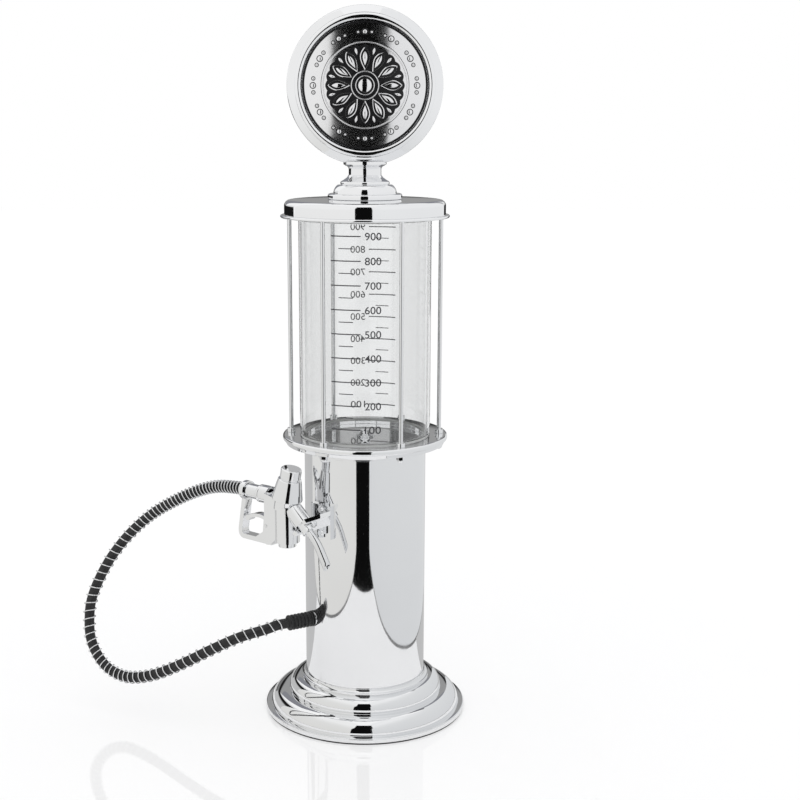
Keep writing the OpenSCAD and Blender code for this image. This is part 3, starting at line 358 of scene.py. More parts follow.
def tube(name, path, radius, sides=12, bore=None, place=None, closed=False):
    """A round tube along a path. radius is a number or one number a point."""
    frames = side_frames(path)
    radii = radius if isinstance(radius, list) else [radius] * len(path)
    points, faces = [], []

    def skin(sizes):
        base = len(points)
        for here, size, (ahead, u, v) in zip(path, sizes, frames):
            for k in range(sides):
                a = 2 * math.pi * k / sides
                points.append(here + size * (math.cos(a) * u + math.sin(a) * v))
        stretch = len(path) if closed else len(path) - 1
        for i in range(stretch):
            j = (i + 1) % len(path)
            for k in range(sides):
                n = (k + 1) % sides
                near, far = base + i * sides, base + j * sides
                faces.append([near + k, near + n, far + n, far + k])
        return base

    outer = skin(radii)
    last = (len(path) - 1) * sides
    if bore:
        inner = skin([bore] * len(path))
        for k in range(sides):
            n = (k + 1) % sides
            faces.append([outer + k, outer + n, inner + n, inner + k])
            faces.append([outer + last + k, outer + last + n, inner + last + n, inner + last + k])
    elif not closed:
        faces.append([outer + k for k in range(sides)])
        faces.append([outer + last + k for k in range(sides)])
    return mesh_from(name, points, faces, place)


def plain_mesh(piece):
    """Applies what is on a piece and leaves a plain mesh."""
    bpy.context.view_layer.update()
    made = bpy.data.meshes.new_from_object(piece.evaluated_get(bpy.context.evaluated_depsgraph_get()))
    piece.modifiers.clear()
    piece.data = made
    return piece


def bevelled(piece, width, segments=2, limit=30):
    bevel = piece.modifiers.new("bevel", "BEVEL")
    bevel.width = width * MM
    bevel.segments = segments
    bevel.limit_method = "ANGLE"
    bevel.angle_limit = math.radians(limit)
    bevel.harden_normals = True
    bevel.miter_outer = "MITER_ARC"
    weigh = piece.modifiers.new("weigh", "WEIGHTED_NORMAL")
    weigh.keep_sharp = True
    return plain_mesh(piece)


def dressed(node, material, bevel=0.0, rides=True):
    """A CAD node's own shape, joined up, with its edges eased and shaded smoothly. A piece that doesn't ride
    its body is hung on no body."""
    mesh = frame["nodes"][node].data.copy()
    shape = bmesh.new()
    shape.from_mesh(mesh)
    bmesh.ops.remove_doubles(shape, verts=shape.verts, dist=0.000004)
    bmesh.ops.dissolve_limit(
        shape, angle_limit=math.radians(0.6), use_dissolve_boundaries=False,
        verts=shape.verts, edges=shape.edges,
    )
    shape.to_mesh(mesh)
    shape.free()
    piece = add_piece(node + "_dressed", mesh, material)
    if bevel:
        bevelled(piece, bevel)
    return settle(piece, body_of(node) if rides else None, [node])


def ring_tree():
    """Geometry nodes: copies the item round a circle in the xy plane, each turned to face out."""
    tree = bpy.data.node_groups.new("copies_round_a_circle", "GeometryNodeTree")
    sockets = tree.interface
    sockets.new_socket("Geometry", in_out="INPUT", socket_type="NodeSocketGeometry")
    for label, kind, value in (
        ("Count", "NodeSocketInt", 6),
        ("Circle radius", "NodeSocketFloat", 0.05),
        ("First angle", "NodeSocketFloat", 0.0),
        ("Material", "NodeSocketMaterial", None),
    ):
        socket = sockets.new_socket(label, in_out="INPUT", socket_type=kind)
        if value is not None:
            socket.default_value = value
    sockets.new_socket("Geometry", in_out="OUTPUT", socket_type="NodeSocketGeometry")
    new, link = tree.nodes.new, tree.links.new
    source, sink = new("NodeGroupInput"), new("NodeGroupOutput")
    circle = new("GeometryNodeMeshCircle")
    link(source.outputs["Count"], circle.inputs["Vertices"])
    link(source.outputs["Circle radius"], circle.inputs["Radius"])
    index, step, turn, whole = (
        new(kind)
        for kind in ("GeometryNodeInputIndex", "ShaderNodeMath", "ShaderNodeMath", "ShaderNodeCombineXYZ")
    )
    step.operation, step.inputs[0].default_value = "DIVIDE", 2 * math.pi
    link(source.outputs["Count"], step.inputs[1])
    turn.operation = "MULTIPLY"
    link(index.outputs[0], turn.inputs[0])
    link(step.outputs[0], turn.inputs[1])
    link(turn.outputs[0], whole.inputs["Z"])
    copies = new("GeometryNodeInstanceOnPoints")
    link(circle.outputs["Mesh"], copies.inputs["Points"])
    link(source.outputs["Geometry"], copies.inputs["Instance"])
    link(whole.outputs[0], copies.inputs["Rotation"])
    spin, angle = new("GeometryNodeTransform"), new("ShaderNodeCombineXYZ")
    link(source.outputs["First angle"], angle.inputs["Z"])
    real, paint = new("GeometryNodeRealizeInstances"), new("GeometryNodeSetMaterial")
    link(copies.outputs[0], spin.inputs["Geometry"])
    link(angle.outputs[0], spin.inputs["Rotation"])
    link(spin.outputs[0], real.inputs[0])
    link(real.outputs[0], paint.inputs["Geometry"])
    link(source.outputs["Material"], paint.inputs["Material"])
    link(paint.outputs[0], sink.inputs[0])
    return tree


circle_copies = ring_tree()


def ring_of(name, item, count, radius, material, first=0.0, place=None):
    """A plain mesh of copies of item round the z axis."""
    piece = bpy.data.objects.new(name, item)
    scene.collection.objects.link(piece)
    copies = piece.modifiers.new("copies", "NODES")
    copies.node_group = circle_copies
    wanted = {
        "Count": count,
        "Circle radius": radius * MM,
        "First angle": math.radians(first),
        "Material": material,
    }
    for socket in circle_copies.interface.items_tree:
        if socket.in_out == "INPUT" and socket.name in wanted:
            copies[socket.identifier] = wanted[socket.name]
    plain_mesh(piece)
    if place is not None:
        move = Matrix.Scale(MM, 4) @ place @ Matrix.Scale(1 / MM, 4)
        piece.data.transform(move)
    piece.data.shade_smooth()
    piece.data.set_sharp_from_angle(angle=math.radians(32))
    return piece


# ---------------------------------------------------------------- hose

GUN_FORWARD = Vector((math.cos(GUN_YAW), -math.sin(GUN_YAW), 0))
GLAND_OUT = Vector((math.cos(GLAND_TURN), math.sin(GLAND_TURN), 0))
COUPLING_END = -43.5
SLEEVE_FOOT, SLEEVE_TIP = 44.4, 63.6
HOSE_R, HOSE_LEAD, HOSE_STEPS = 3.6, 8, 260
gun_inlet = gun_frame @ Vector((COUPLING_END, 0, HANDLE_Z))
sleeve_end = SLEEVE_TIP * GLAND_OUT + Vector((0, 0, GLAND_Z))
# Read off the photo, in metres; how far each point is in front or behind is judged.
ROUTE = [
    (-0.070, -0.039, 0.072), (-0.089, -0.042, 0.067), (-0.109, -0.041, 0.0575), (-0.128, -0.037, 0.0465),
    (-0.148, -0.030, 0.0355), (-0.164, -0.023, 0.0295), (-0.176, -0.017, 0.028), (-0.187, -0.012, 0.0315),
    (-0.195, -0.008, 0.039), (-0.201, -0.003, 0.050), (-0.203, 0.002, 0.062), (-0.202, 0.007, 0.077),
    (-0.196, 0.010, 0.093), (-0.186, 0.013, 0.1105), (-0.172, 0.015, 0.1275), (-0.155, 0.016, 0.142),
    (-0.135, 0.015, 0.1535), (-0.119, 0.012, 0.1605), (-0.106, 0.006, 0.1645),
]


def smooth_route(points, steps):
    """A curve through the points, the same one that the CAD hose follows."""
    made = []
    count = len(points)
    for i in range(count - 1):
        a, b = points[i], points[i + 1]
        ta = (b - points[max(i - 1, 0)]) / 2
        tb = (points[min(i + 2, count - 1)] - a) / 2
        for s in range(steps):
            t = s / steps
            made.append(
                (2 * t**3 - 3 * t**2 + 1) * a + (t**3 - 2 * t**2 + t) * ta
                + (3 * t**2 - 2 * t**3) * b + (t**3 - t**2) * tb
            )
    return made + [points[-1]]


def spaced(path, count):
    """count + 1 points at equal distances along a path, and the path's length."""
    sums = [0.0]
    for a, b in zip(path, path[1:]):
        sums.append(sums[-1] + (b - a).length)
    made, i = [], 0
    for k in range(count + 1):
        want = sums[-1] * k / count
        while i < len(path) - 2 and sums[i + 1] < want:
            i += 1
        t = (want - sums[i]) / (sums[i + 1] - sums[i])
        made.append(path[i].lerp(path[i + 1], t))
    return made, sums[-1]


stations = [sleeve_end, sleeve_end + HOSE_LEAD * GLAND_OUT]
stations += [Vector(p) / MM for p in ROUTE]
stations += [gun_inlet - HOSE_LEAD * GUN_FORWARD, gun_inlet]
hose_line, hose_length = spaced(smooth_route(stations, 12), HOSE_STEPS)
hose = add_piece("hose_rubber", tube("hose_rubber", hose_line, HOSE_R, 20), black_rubber, 60)
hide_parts("hose")

# The spring's curls sit close by the nozzle and in the tight bend, and wider elsewhere.
WIRE_R, COIL_R, COIL_TURNS, COIL_STEPS, COIL_INSET = 0.45, 4.38, 80, 22, 12
SPRING_STEPS = 2400


def curl_density(along):
    """How close the curls are, by the share of the hose's length."""
    near_gun = 1 / (1 + math.exp(-(along - 0.76) / 0.025))
    in_bend = math.exp(-(((along - 0.40) / 0.075) ** 2))
    return 1 + 1.05 * near_gun + 0.45 * in_bend


spring_line, _ = spaced(hose_line, SPRING_STEPS)
spring_frames = side_frames(spring_line)
weights = [curl_density(i / SPRING_STEPS) for i in range(SPRING_STEPS + 1)]
turned_sum = [0.0]
for weight in weights[1:]:
    turned_sum.append(turned_sum[-1] + weight)
coil, seek = [], 0
for k in range(COIL_TURNS * COIL_STEPS + 1):
    want = turned_sum[-1] * k / (COIL_TURNS * COIL_STEPS)
    while seek < SPRING_STEPS - 1 and turned_sum[seek + 1] < want:
        seek += 1
    t = (want - turned_sum[seek]) / (turned_sum[seek + 1] - turned_sum[seek])
    t = min(max(t, 0), 1)
    _, u, v = spring_frames[seek]
    a = 2 * math.pi * k / COIL_STEPS
    middle = spring_line[seek].lerp(spring_line[seek + 1], t)
    coil.append(middle + COIL_R * (math.cos(a) * u + math.sin(a) * v))
spring_wire = tube("hose_wire", coil[COIL_INSET:-COIL_INSET], WIRE_R, 8)
spring = add_piece("hose_wire", spring_wire, bright_steel, 80)
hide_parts("hose_spring")

SLEEVE_RIBS = 7
ribs = []
for i in range(SLEEVE_RIBS):
    z = SLEEVE_FOOT + (SLEEVE_TIP - SLEEVE_FOOT) * (i + 0.2) / SLEEVE_RIBS
    ribs += [(4.6, z), (5.5, z + 0.25), (5.5, z + 1.3), (4.6, z + 1.55)]
sleeve = turned(
    "hose_sleeve_ribbed",
    [(0, 44.2), (5.35, 44.2), (5.35, 43.5), (5.7, 43.6), (5.7, SLEEVE_FOOT), (4.9, 44.6)]
    + ribs
    + [(4.4, 63.2), (4.0, SLEEVE_TIP), (0, SLEEVE_TIP)],
    black_rubber, "stand", ["hose_sleeve"], gland_frame, 64, 0.25,
)
for piece in (hose, spring):
    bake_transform(piece)

# ---------------------------------------------------------------- base and column

shell_outline = (
    [(73, 1.2)]
    + arc(72.2, 3.6, 0.8, 0, 90, 6)
    + arc(58.2, 4.4, 10.6, 0, 90, 28)
    + [(55.5, 15.0)]
    + arc(47, 16.4, 8.5, 0, 90, 24)
    + [(RING_BORE, COVE_FOOT), (RING_BORE, 23.3)]
    + arc(47, 16.4, 6.9, 90, 0, 12)
    + [(53.9, 13.4)]
    + arc(58.2, 4.4, 9.0, 90, 0, 14)
    + [(67.2, 3.44), (71.4, 3.44), (71.4, 1.2)]
)
turned("base_steps", shell_outline, chrome, "stand", ["base_shell"], None, 256, 0.3)
turned(
    "base_foot", [(0, 0), (72.4, 0), (72.4, 1.2), (0, 1.2)],
    black_rubber, "stand", ["base_pad"], None, 160, 0.2,
)
turned(
    "column_skin",
    [(COLUMN_R, 3.2), (COLUMN_R, DECK_FOOT - 0.05), (COLUMN_BORE, DECK_FOOT - 0.05), (COLUMN_BORE, 3.2)],
    chrome, "stand", ["column_tube"], None, 256, 0.15,
)
turned(
    "column_cove",
    [(RING_BORE, COVE_FOOT), (46.6, COVE_FOOT)] + arc(46.6, 29.0, 2.6, 270, 180, 12) + [(RING_BORE, 29.0)],
    chrome, "stand", ["cove_ring"], None, 256, 0.12,
)
deck_outline = (
    arc(56.9, 204.4, 1.6, 90, 0, 8)
    + arc(56.9, 203.6, 1.6, 0, -90, 8)
    + [(56.1, 199.5)]
    + arc(49.5, 196.0, 3.5, 90, 180, 10)
    + [
        (46, 195.5), (RING_BORE, 195.5), (RING_BORE, DECK_FOOT), (39, DECK_FOOT), (37, 200.7), (12.5, 200.7),
        (11.5, DECK_FOOT), (4.05, DECK_FOOT), (4.05, WELL_Z), (WELL_R, WELL_Z), (WELL_R, DECK_TOP),
    ]
)
turned("deck_dish", deck_outline, chrome, "stand", ["deck_flange"], None, 256, 0.25)

# ---------------------------------------------------------------- rods, nuts and screws

RODS, ROD_CIRCLE, ROD_TURN, ROD_R = 6, 52.6, -2.4, 1.5
COLLAR_R, COLLAR_TOP = 2.9, 209
rod = lathe(
    "rod", softened([(0, 195.6), (ROD_R, 195.6), (ROD_R, MOUTH_FOOT), (0, MOUTH_FOOT)], 0.1), None, 32,
)
collar_bore = ROD_R + 0.05
collar = lathe(
    "collar",
    softened(
        [(collar_bore, DECK_TOP), (COLLAR_R, DECK_TOP), (COLLAR_R, COLLAR_TOP), (collar_bore, COLLAR_TOP)],
        0.35,
    ),
    None, 40,
)
screw = lathe(
    "screw",
    [(0, 358.9), (0.9, 358.9), (0.9, MOUTH_TOP), (1.8, MOUTH_TOP), (1.8, 361.0)]
    + arc(0.9, 360.8, 0.9, 0, 90, 6)
    + [(0, 361.7)],
    None, 32,
)
for name, item, material, node in (
    ("tie_rods_bright", rod, bright_steel, "tie_rods"),
    ("rod_collars_bright", collar, chrome, "rod_collars"),
    ("rod_screw_heads", screw, chrome, "rod_screws"),
):
    settle(ring_of(name, item, RODS, ROD_CIRCLE, material, ROD_TURN), "stand", [node])
dressed("acorn_nuts", chrome, 0.2)

# ---------------------------------------------------------------- canister

turned(
    "canister_clear",
    [
        (CANISTER_BORE, CANISTER_FOOT), (CANISTER_R, CANISTER_FOOT),
        (CANISTER_R, CANISTER_TOP), (CANISTER_BORE, CANISTER_TOP),
    ],
    clear_acrylic, "stand", ["canister"], None, 256, 0.3,
)
turned(
    "canister_foot_gasket",
    [(41.2, DECK_TOP), (45.8, DECK_TOP), (45.8, CANISTER_FOOT), (41.2, CANISTER_FOOT)],
    clear_silicone, "stand", ["canister_gasket"], None, 160, 0.1,
)
turned(
    "canister_top_seal",
    [(43.4, CANISTER_TOP), (CANISTER_R, CANISTER_TOP), (CANISTER_R, MOUTH_FOOT), (43.4, MOUTH_FOOT)],
    clear_silicone, "stand", ["top_seal"], None, 160, 0.2,
)
turned(
    "top_rim", arc(57.6, 359.5, 1, -90, 90, 12) + [(43.1, MOUTH_TOP), (43.1, MOUTH_FOOT)],
    chrome, "stand", ["top_ring"], None, 256, 0.12,
)

# The scale is printed on the front and, turned half round, on the back.
PRINT_R = CANISTER_R + 0.06
PRINT_THICK = 0.05
SCALE_ZERO, SCALE_STEP = 201.2, 16.4  # height of 0 ml, and of each 100 ml more
LONG_TICK, SHORT_TICK = (-22.9, -2.9, 0.38), (-17.7, -8.0, 0.3)  # ends and half height
FIGURE_X, FIGURE_DROP, FIGURE_SIZE, FIGURE_WIDTH = -0.1, 2.5, 7.1, 11.0


def wrapped(points, turn):
    """Flat print points (x, z, thickness) laid round the canister."""
    made = []
    for x, z, lift in points:
        angle = math.asin(x / PRINT_R)
        r = PRINT_R + lift
        made.append(Matrix.Rotation(turn, 4, "Z") @ Vector((r * math.sin(angle), -r * math.cos(angle), z)))
    return made


def scale_height(millilitres):
    return SCALE_ZERO + SCALE_STEP * millilitres / 100


def add_tick(points, faces, tick, z, turn, steps):
    x0, x1, half = tick
    base = len(points)
    flat = []
    for i in range(steps + 1):
        x = x0 + (x1 - x0) * i / steps
        flat += [(x, z - half, 0), (x, z + half, 0), (x, z + half, PRINT_THICK), (x, z - half, PRINT_THICK)]
    points += wrapped(flat, turn)
    for i in range(steps):
        for k in range(4):
            n = (k + 1) % 4
            faces.append([base + 4 * i + k, base + 4 * i + n, base + 4 * i + 4 + n, base + 4 * i + 4 + k])
    faces += [[base, base + 1, base + 2, base + 3], [base + 4 * steps + k for k in range(4)]]


def digits_mesh(text, x0, z0, size, width):
    """A number's figures with a little thickness, as points and faces that start at x0 and z0."""
    curve = bpy.data.curves.new("digits", "FONT")
    curve.body = text
    curve.size = size
    curve.extrude = 0.025
    curve.offset = 0.05
    piece = bpy.data.objects.new("digits", curve)
    scene.collection.objects.link(piece)
    bpy.context.view_layer.update()
    mesh = bpy.data.meshes.new_from_object(piece.evaluated_get(bpy.context.evaluated_depsgraph_get()))
    bpy.data.objects.remove(piece)
    low = min(v.co.x for v in mesh.vertices)
    high = max(v.co.x for v in mesh.vertices)
    scale = width / (high - low)
    flat = [(x0 + (v.co.x - low) * scale, z0 + v.co.y, v.co.z + 0.06) for v in mesh.vertices]
    return flat, [list(p.vertices) for p in mesh.polygons]


def scale_print(name, turn):
    points, faces = [], []
    for value in range(100, 901, 50):
        z = scale_height(value)
        if value % 100:
            add_tick(points, faces, SHORT_TICK, z, turn, 6)
        else:
            add_tick(points, faces, LONG_TICK, z, turn, 10)
            flat, shapes = digits_mesh(str(value), FIGURE_X, z - FIGURE_DROP, FIGURE_SIZE, FIGURE_WIDTH)
            base = len(points)
            points += wrapped(flat, turn)
            faces += [[base + i for i in face] for face in shapes]
    return settle(add_piece(name, mesh_from(name, points, faces), scale_ink), "stand")


scale_print("scale_front", 0)
scale_print("scale_back", math.pi)

# ---------------------------------------------------------------- outlet and inside

turned(
    "outlet_turned",
    [(2.3, 172), (3.2, 172), (3.2, 187), (4, 187), (4, WELL_Z), (6.5, WELL_Z), (6.5, 204.7), (2.3, 204.7)],
    bright_steel, "stand", ["outlet_fitting"], None, 64, 0.2,
)
for node, material, bevel in (
    ("outlet_strainer", chrome, 0.0),
    ("outlet_washer", black_rubber, 0.1),
    ("outlet_nut", plain_steel, 0.3),
    ("drain_tube", clear_tube, 0.0),
    ("hose_gland", chrome, 0.15),
    ("gland_nut", plain_steel, 0.3),
    ("base_plate", plain_steel, 0.2),
    ("base_screws", plain_steel, 0.1),
    ("foot_ring", plain_steel, 0.2),
    ("gun_holder", chrome, 0.35),
    ("holder_screws", chrome, 0.15),
    ("lid_plug", black_plastic, 0.2),
    ("lid_seal", clear_silicone, 0.1),
    ("neck", chrome, 0.12),
    ("neck_stud", plain_steel, 0.1),
    ("stud_nuts", plain_steel, 0.2),
    ("gun_body", chrome, 0.45),
    ("valve_seat", black_rubber, 0.0),
    ("valve_stem", brass, 0.1),
    ("bottom_plug", chrome, 0.3),
    ("trigger", chrome, 0.4),
    ("trigger_pin", bright_steel, 0.2),
    ("trigger_guard", chrome, 0.6),
    ("guard_screw", chrome, 0.15),
):
    dressed(node, material, bevel)

# The valve's spring stands on the bottom plug below the stem. It hangs on no body, and its lowest and
# highest points are measured.
valve_spring = dressed("valve_spring", plain_steel, rides=False)
spring_low, spring_high = (
    [end(vertex.co[i] for vertex in valve_spring.data.vertices) for i in range(3)] for end in (min, max)
)
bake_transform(valve_spring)

# ---------------------------------------------------------------- lid

lid_outline = (
    [(55.9, MOUTH_TOP)]
    + arc(51.9, 366.6, 4, 0, 90, 14)
    + [(26.7, 371), (3.05, 371), (3.05, 370), (26.7, 370)]
    + arc(51.9, 366.6, 3, 90, 0, 10)
    + [(54.9, MOUTH_TOP)]
)
turned("lid_dome", lid_outline, chrome, "lid", ["lid_cover"], None, 256, 0.2)

# ---------------------------------------------------------------- sign

sign_outline = (
    [(53, 0), (53, 5)]
    + arc(50.6, 5, 2.4, 0, 60, 8)
    + [(47.8, 9.4)]
    + arc(45.2, 9.4, 2.4, 0, 180, 18)
    + [(42.3, 8.8), (0, 8.8), (0, 7.0), (46, 7.0), (50, 5), (51.2, 4), (51.2, 0)]
)
turned("sign_front_shell", sign_outline, chrome, "lid", ["sign_front"], sign_front_frame, 256, 0.2)
turned("sign_back_shell", sign_outline, chrome, "lid", ["sign_back"], sign_back_frame, 256, 0.2)


def face_height(r):
    """Height of the emblem's crowned face over the sign's middle plane."""
    return FACE_EDGE + FACE_CROWN * (1 - (r / EMBLEM_R) ** 2)


plate = [(0, EMBLEM_BACK), (EMBLEM_R, EMBLEM_BACK), (EMBLEM_R, face_height(EMBLEM_R))]
plate += [(r, face_height(r)) for r in (41, 39, 36, 32, 28, 24, 20, 16, 12, 8, 4)] + [(0, face_height(0))]
turned(
    "emblem_plate", plate, sign_chrome, "lid", ["sign_emblem"], sign_front_frame, 192, 0.15,
)


def circle(r, count):
    """Points (x, y) round a circle."""
    return [(r * math.cos(math.tau * k / count), r * math.sin(math.tau * k / count)) for k in range(count)]


def on_face(name, points, radius, material):
    """A raised closed line on the emblem's face."""
    path = [Vector((x, y, face_height(math.hypot(x, y)) + 0.1)) for x, y in points]
    shape = tube(name, path, radius, 8, None, sign_front_frame, closed=True)
    return settle(add_piece(name, shape, material, 80), "lid")


def flat_ring(name, r_in, r_out, lift, material, scallops=0, depth=0.0):
    """A thin enamel band on the face; its outer edge may be scalloped."""
    turns, points, faces = 240, [], []
    steps = 4
    for j in range(steps + 1):
        for k in range(turns):
            a = 2 * math.pi * k / turns
            edge = r_out + depth * abs(math.cos(a * scallops / 2)) if scallops else r_out
            r = r_in + (edge - r_in) * j / steps
            points.append((r * math.cos(a), r * math.sin(a), face_height(r) + lift))
    low = len(points)
    points += [(x, y, z - 0.3) for x, y, z in points]
    for j in range(steps):
        for k in range(turns):
            n = (k + 1) % turns
            quad = [j * turns + k, j * turns + n, (j + 1) * turns + n, (j + 1) * turns + k]
            faces += [quad, [low + i for i in quad]]
    for edge in (0, steps * turns):
        for k in range(turns):
            n = (k + 1) % turns
            faces.append([edge + k, edge + n, low + edge + n, low + edge + k])
    shape = mesh_from(name, points, faces, sign_front_frame)
    return settle(add_piece(name, shape, material), "lid")


flat_ring("emblem_ground", 0.6, 25.6, 0.05, black_enamel_and_shade, 24, 1.1)
# Painted shade: this raised black ring stands for the dark of the deep gap between the emblem's edge and the
# shell.
turned(
    "emblem_edge_painted_shade",
    [(40.9, 9.2), (40.9, 10.45), (41.2, 10.6), (41.9, 10.55), (42.15, 10.3), (42.15, 9.2)],
    black_enamel_and_shade, "lid", (), sign_front_frame, 192, 0,
)
flat_ring("emblem_inner_line", 29.4, 29.75, 0.03, black_enamel_and_shade)
for label, r, size in (("outer", 28.2, 0.45), ("middle", 9.2, 0.4), ("hub", 6.2, 0.35)):
    on_face("emblem_ring_" + label, circle(r, 144), size, sign_chrome)


def petal(inner, outer, half, steps=40):
    """A pointed leaf outline along +x."""
    made = []
    for k in range(steps):
        t = k / steps
        s = 2 * t if t < 0.5 else 2 - 2 * t
        x = inner + (outer - inner) * s
        y = half * math.sin(math.pi * s**1.25) ** 0.85 * (1 if t < 0.5 else -1)
        made.append((x, y))
    return made


def petal_line(name, inner, outer, half, radius):
    path = [Vector((x, y, face_height(math.hypot(x, y)) + 0.12)) for x, y in petal(inner, outer, half)]
    return tube(name, path, radius, 6, None, None, closed=True)


def petal_leaf(name, inner, outer, half):
    outline = petal(inner, outer, half, 28)
    points = [((inner + outer) / 2, 0, face_height((inner + outer) / 2) + 0.55)]
    for share, lift in ((0.55, 0.42), (1.0, 0.05), (1.0, -0.2)):
        for x, y in outline:
            cx = (inner + outer) / 2
            px, py = cx + (x - cx) * share, y * share
            points.append((px, py, face_height(math.hypot(px, py)) + lift))
    n = len(outline)
    faces = [[0, 1 + k, 1 + (k + 1) % n] for k in range(n)]
    for ring in range(2):
        for k in range(n):
            m = (k + 1) % n
            near, far = 1 + ring * n, 1 + (ring + 1) * n
            faces.append([near + k, near + m, far + m, far + k])
    faces.append([1 + 2 * n + k for k in range(n)])
    return mesh_from(name, points, faces)


for name, item, count, first in (
    ("emblem_petals", petal_line("petal", 10.2, 24.8, 3.1, 0.34), 12, 90),
    ("emblem_leaves", petal_leaf("leaf", 13.0, 22.4, 1.5), 12, 90),
    ("emblem_darts", petal_leaf("dart", 20.5, 25.2, 0.8), 12, 105),
):
    settle(ring_of(name, item, count, 0, sign_chrome, first, sign_front_frame), "lid")


BEAD_CIRCLE = 35


def on_slope(mesh):
    """Tilts an item that is made at the bead circle's height, so that it lies on the crowned face."""
    here = Vector((0, 0, face_height(BEAD_CIRCLE) * MM))
    slope = math.atan(2 * FACE_CROWN * BEAD_CIRCLE / EMBLEM_R**2)
    mesh.transform(Matrix.Translation(here) @ Matrix.Rotation(slope, 4, "Y") @ Matrix.Translation(-here))
    return mesh


def bead(name, size, lift=0.45):
    z = face_height(BEAD_CIRCLE)
    outline = [(size, z - 0.2), (size, z)]
    for degrees in (20, 40, 60, 75):
        a = math.radians(degrees)
        outline.append((size * math.cos(a), z + lift * math.sin(a)))
    return on_slope(lathe(name, outline + [(0, z + lift), (0, z - 0.2)], None, 20))


def bead_ring(name, size, width):
    z = face_height(BEAD_CIRCLE) + 0.02
    path = [Vector((x, y, z)) for x, y in circle(size, 28)]
    return on_slope(tube(name, path, width, 6, None, None, closed=True))


for name, item, count, material, first in (
    ("emblem_beads_large", bead("bead_large", 1.35), 12, sign_chrome, 90),
    ("emblem_beads_small", bead("bead_small", 0.8), 24, sign_chrome, 97.5),
    ("emblem_rings_large", bead_ring("ring_large", 1.95, 0.3), 12, black_enamel_and_shade, 90),
    ("emblem_rings_small", bead_ring("ring_small", 1.25, 0.25), 24, black_enamel_and_shade, 97.5),
):
    settle(ring_of(name, item, count, BEAD_CIRCLE, material, first, sign_front_frame), "lid")
hub_foot, hub_face = face_height(4), face_height(0)
hub = [
    (4.6, hub_foot), (4.4, hub_foot + 0.25), (3.2, hub_face + 0.55), (1.6, hub_face + 0.8),
    (0, hub_face + 0.85), (0, hub_face - 0.3), (4.6, hub_face - 0.3),
]
turned("emblem_hub", hub, sign_chrome, "lid", (), sign_front_frame, 64, 0)

# ---------------------------------------------------------------- nozzle

cap_outline = [
    (0, 23.2), (6.6, 23.2), (7.3, 22.5), (7.3, 16.4), (6.8, 16.0), (6.8, 15.6), (8.2, 15.1), (11.0, 1.2),
    (11.0, 0.5), (4.95, 0.5), (4.95, -1.1), (3.8, -1.1), (3.8, 13.4), (0, 13.4),
]
turned("cap_turned", cap_outline, chrome, "gun", ["valve_cap"], cap_frame, 96, 0.35)
turned(
    "cap_gasket_black", [(5.6, 0), (8.5, 0), (8.5, 0.5), (5.6, 0.5)],
    black_rubber, "gun", ["cap_gasket"], cap_frame, 96, 0.1,
)
turned(
    "union_turned",
    [
        (4.65, -28), (6.0, -28), (6.4, -27.6), (6.4, -26.2), (6.05, -25.9), (6.05, -25.5), (6.4, -25.2),
        (6.4, -18.05), (4.65, -18.05),
    ],
    chrome, "gun", ["union_nut"], handle_frame, 96, 0.25,
)
turned(
    "coupling_turned",
    [
        (0, COUPLING_END), (4.9, COUPLING_END), (5.4, -43.0), (5.4, -42.0), (5.2, -41.8), (5.2, -28.05),
        (2.3, -28.05), (2.3, -41.5), (0, -41.5),
    ],
    chrome, "gun", ["hose_coupling"], handle_frame, 96, 0.25,
)
SPOUT_R, SPOUT_BORE, SPOUT_START = 3.0, 2.3, 16.65
turned(
    "spout_collar", [(3.05, SPOUT_START), (5.0, SPOUT_START), (5.0, 20.05), (3.05, 20.05)],
    chrome, "gun", ["spout_nut"], spout_frame, 64, 0.5,
)


def bent_pipe(name, path, sizes, bore, slant, place, sides=40):
    """A tube through (x, z, heading) steps whose far end is cut at a slant, longer on its +x side."""
    rows = list(zip(path, sizes)) + [(step, bore) for step in reversed(path)]
    points, faces = [], []
    for i, ((x, z, heading), size) in enumerate(rows):
        ahead = math.tan(slant) if abs(i - len(path) + 0.5) < 2 else 0
        for k in range(sides):
            u, v = size * math.cos(math.tau * k / sides), size * math.sin(math.tau * k / sides)
            along, across = math.sin(heading), math.cos(heading)
            points.append((x + u * across + u * ahead * along, v, z - u * along + u * ahead * across))
    for i in range(len(rows)):
        j = (i + 1) % len(rows)
        for k in range(sides):
            n = (k + 1) % sides
            faces.append([i * sides + k, i * sides + n, j * sides + n, j * sides + k])
    return mesh_from(name, points, faces, place)


BEND_START, BEND_R, BEND_TURN, BEND_STEPS = 23.05, 40, 18, 12
spout_path = [(0, z, 0) for z in (SPOUT_START, 17.2, 20, 22.5)]
for i in range(BEND_STEPS + 1):
    a = math.radians(BEND_TURN * i / BEND_STEPS)
    spout_path.append((BEND_R * (1 - math.cos(a)), BEND_START + BEND_R * math.sin(a), a))
bend_x, bend_z, tip = spout_path[-1]
spout_path += [(bend_x + d * math.sin(tip), bend_z + d * math.cos(tip), tip) for d in (3, 6, 9, 11.75, 12)]
spout_sizes = [SPOUT_R] * (len(spout_path) - 1) + [SPOUT_R - 0.2]
spout_shape = bent_pipe("spout_bent", spout_path, spout_sizes, SPOUT_BORE, math.radians(30), spout_frame)
settle(add_piece("spout_bent", spout_shape, bright_steel, 40), "gun", ["spout"])

# ---------------------------------------------------------------- studio


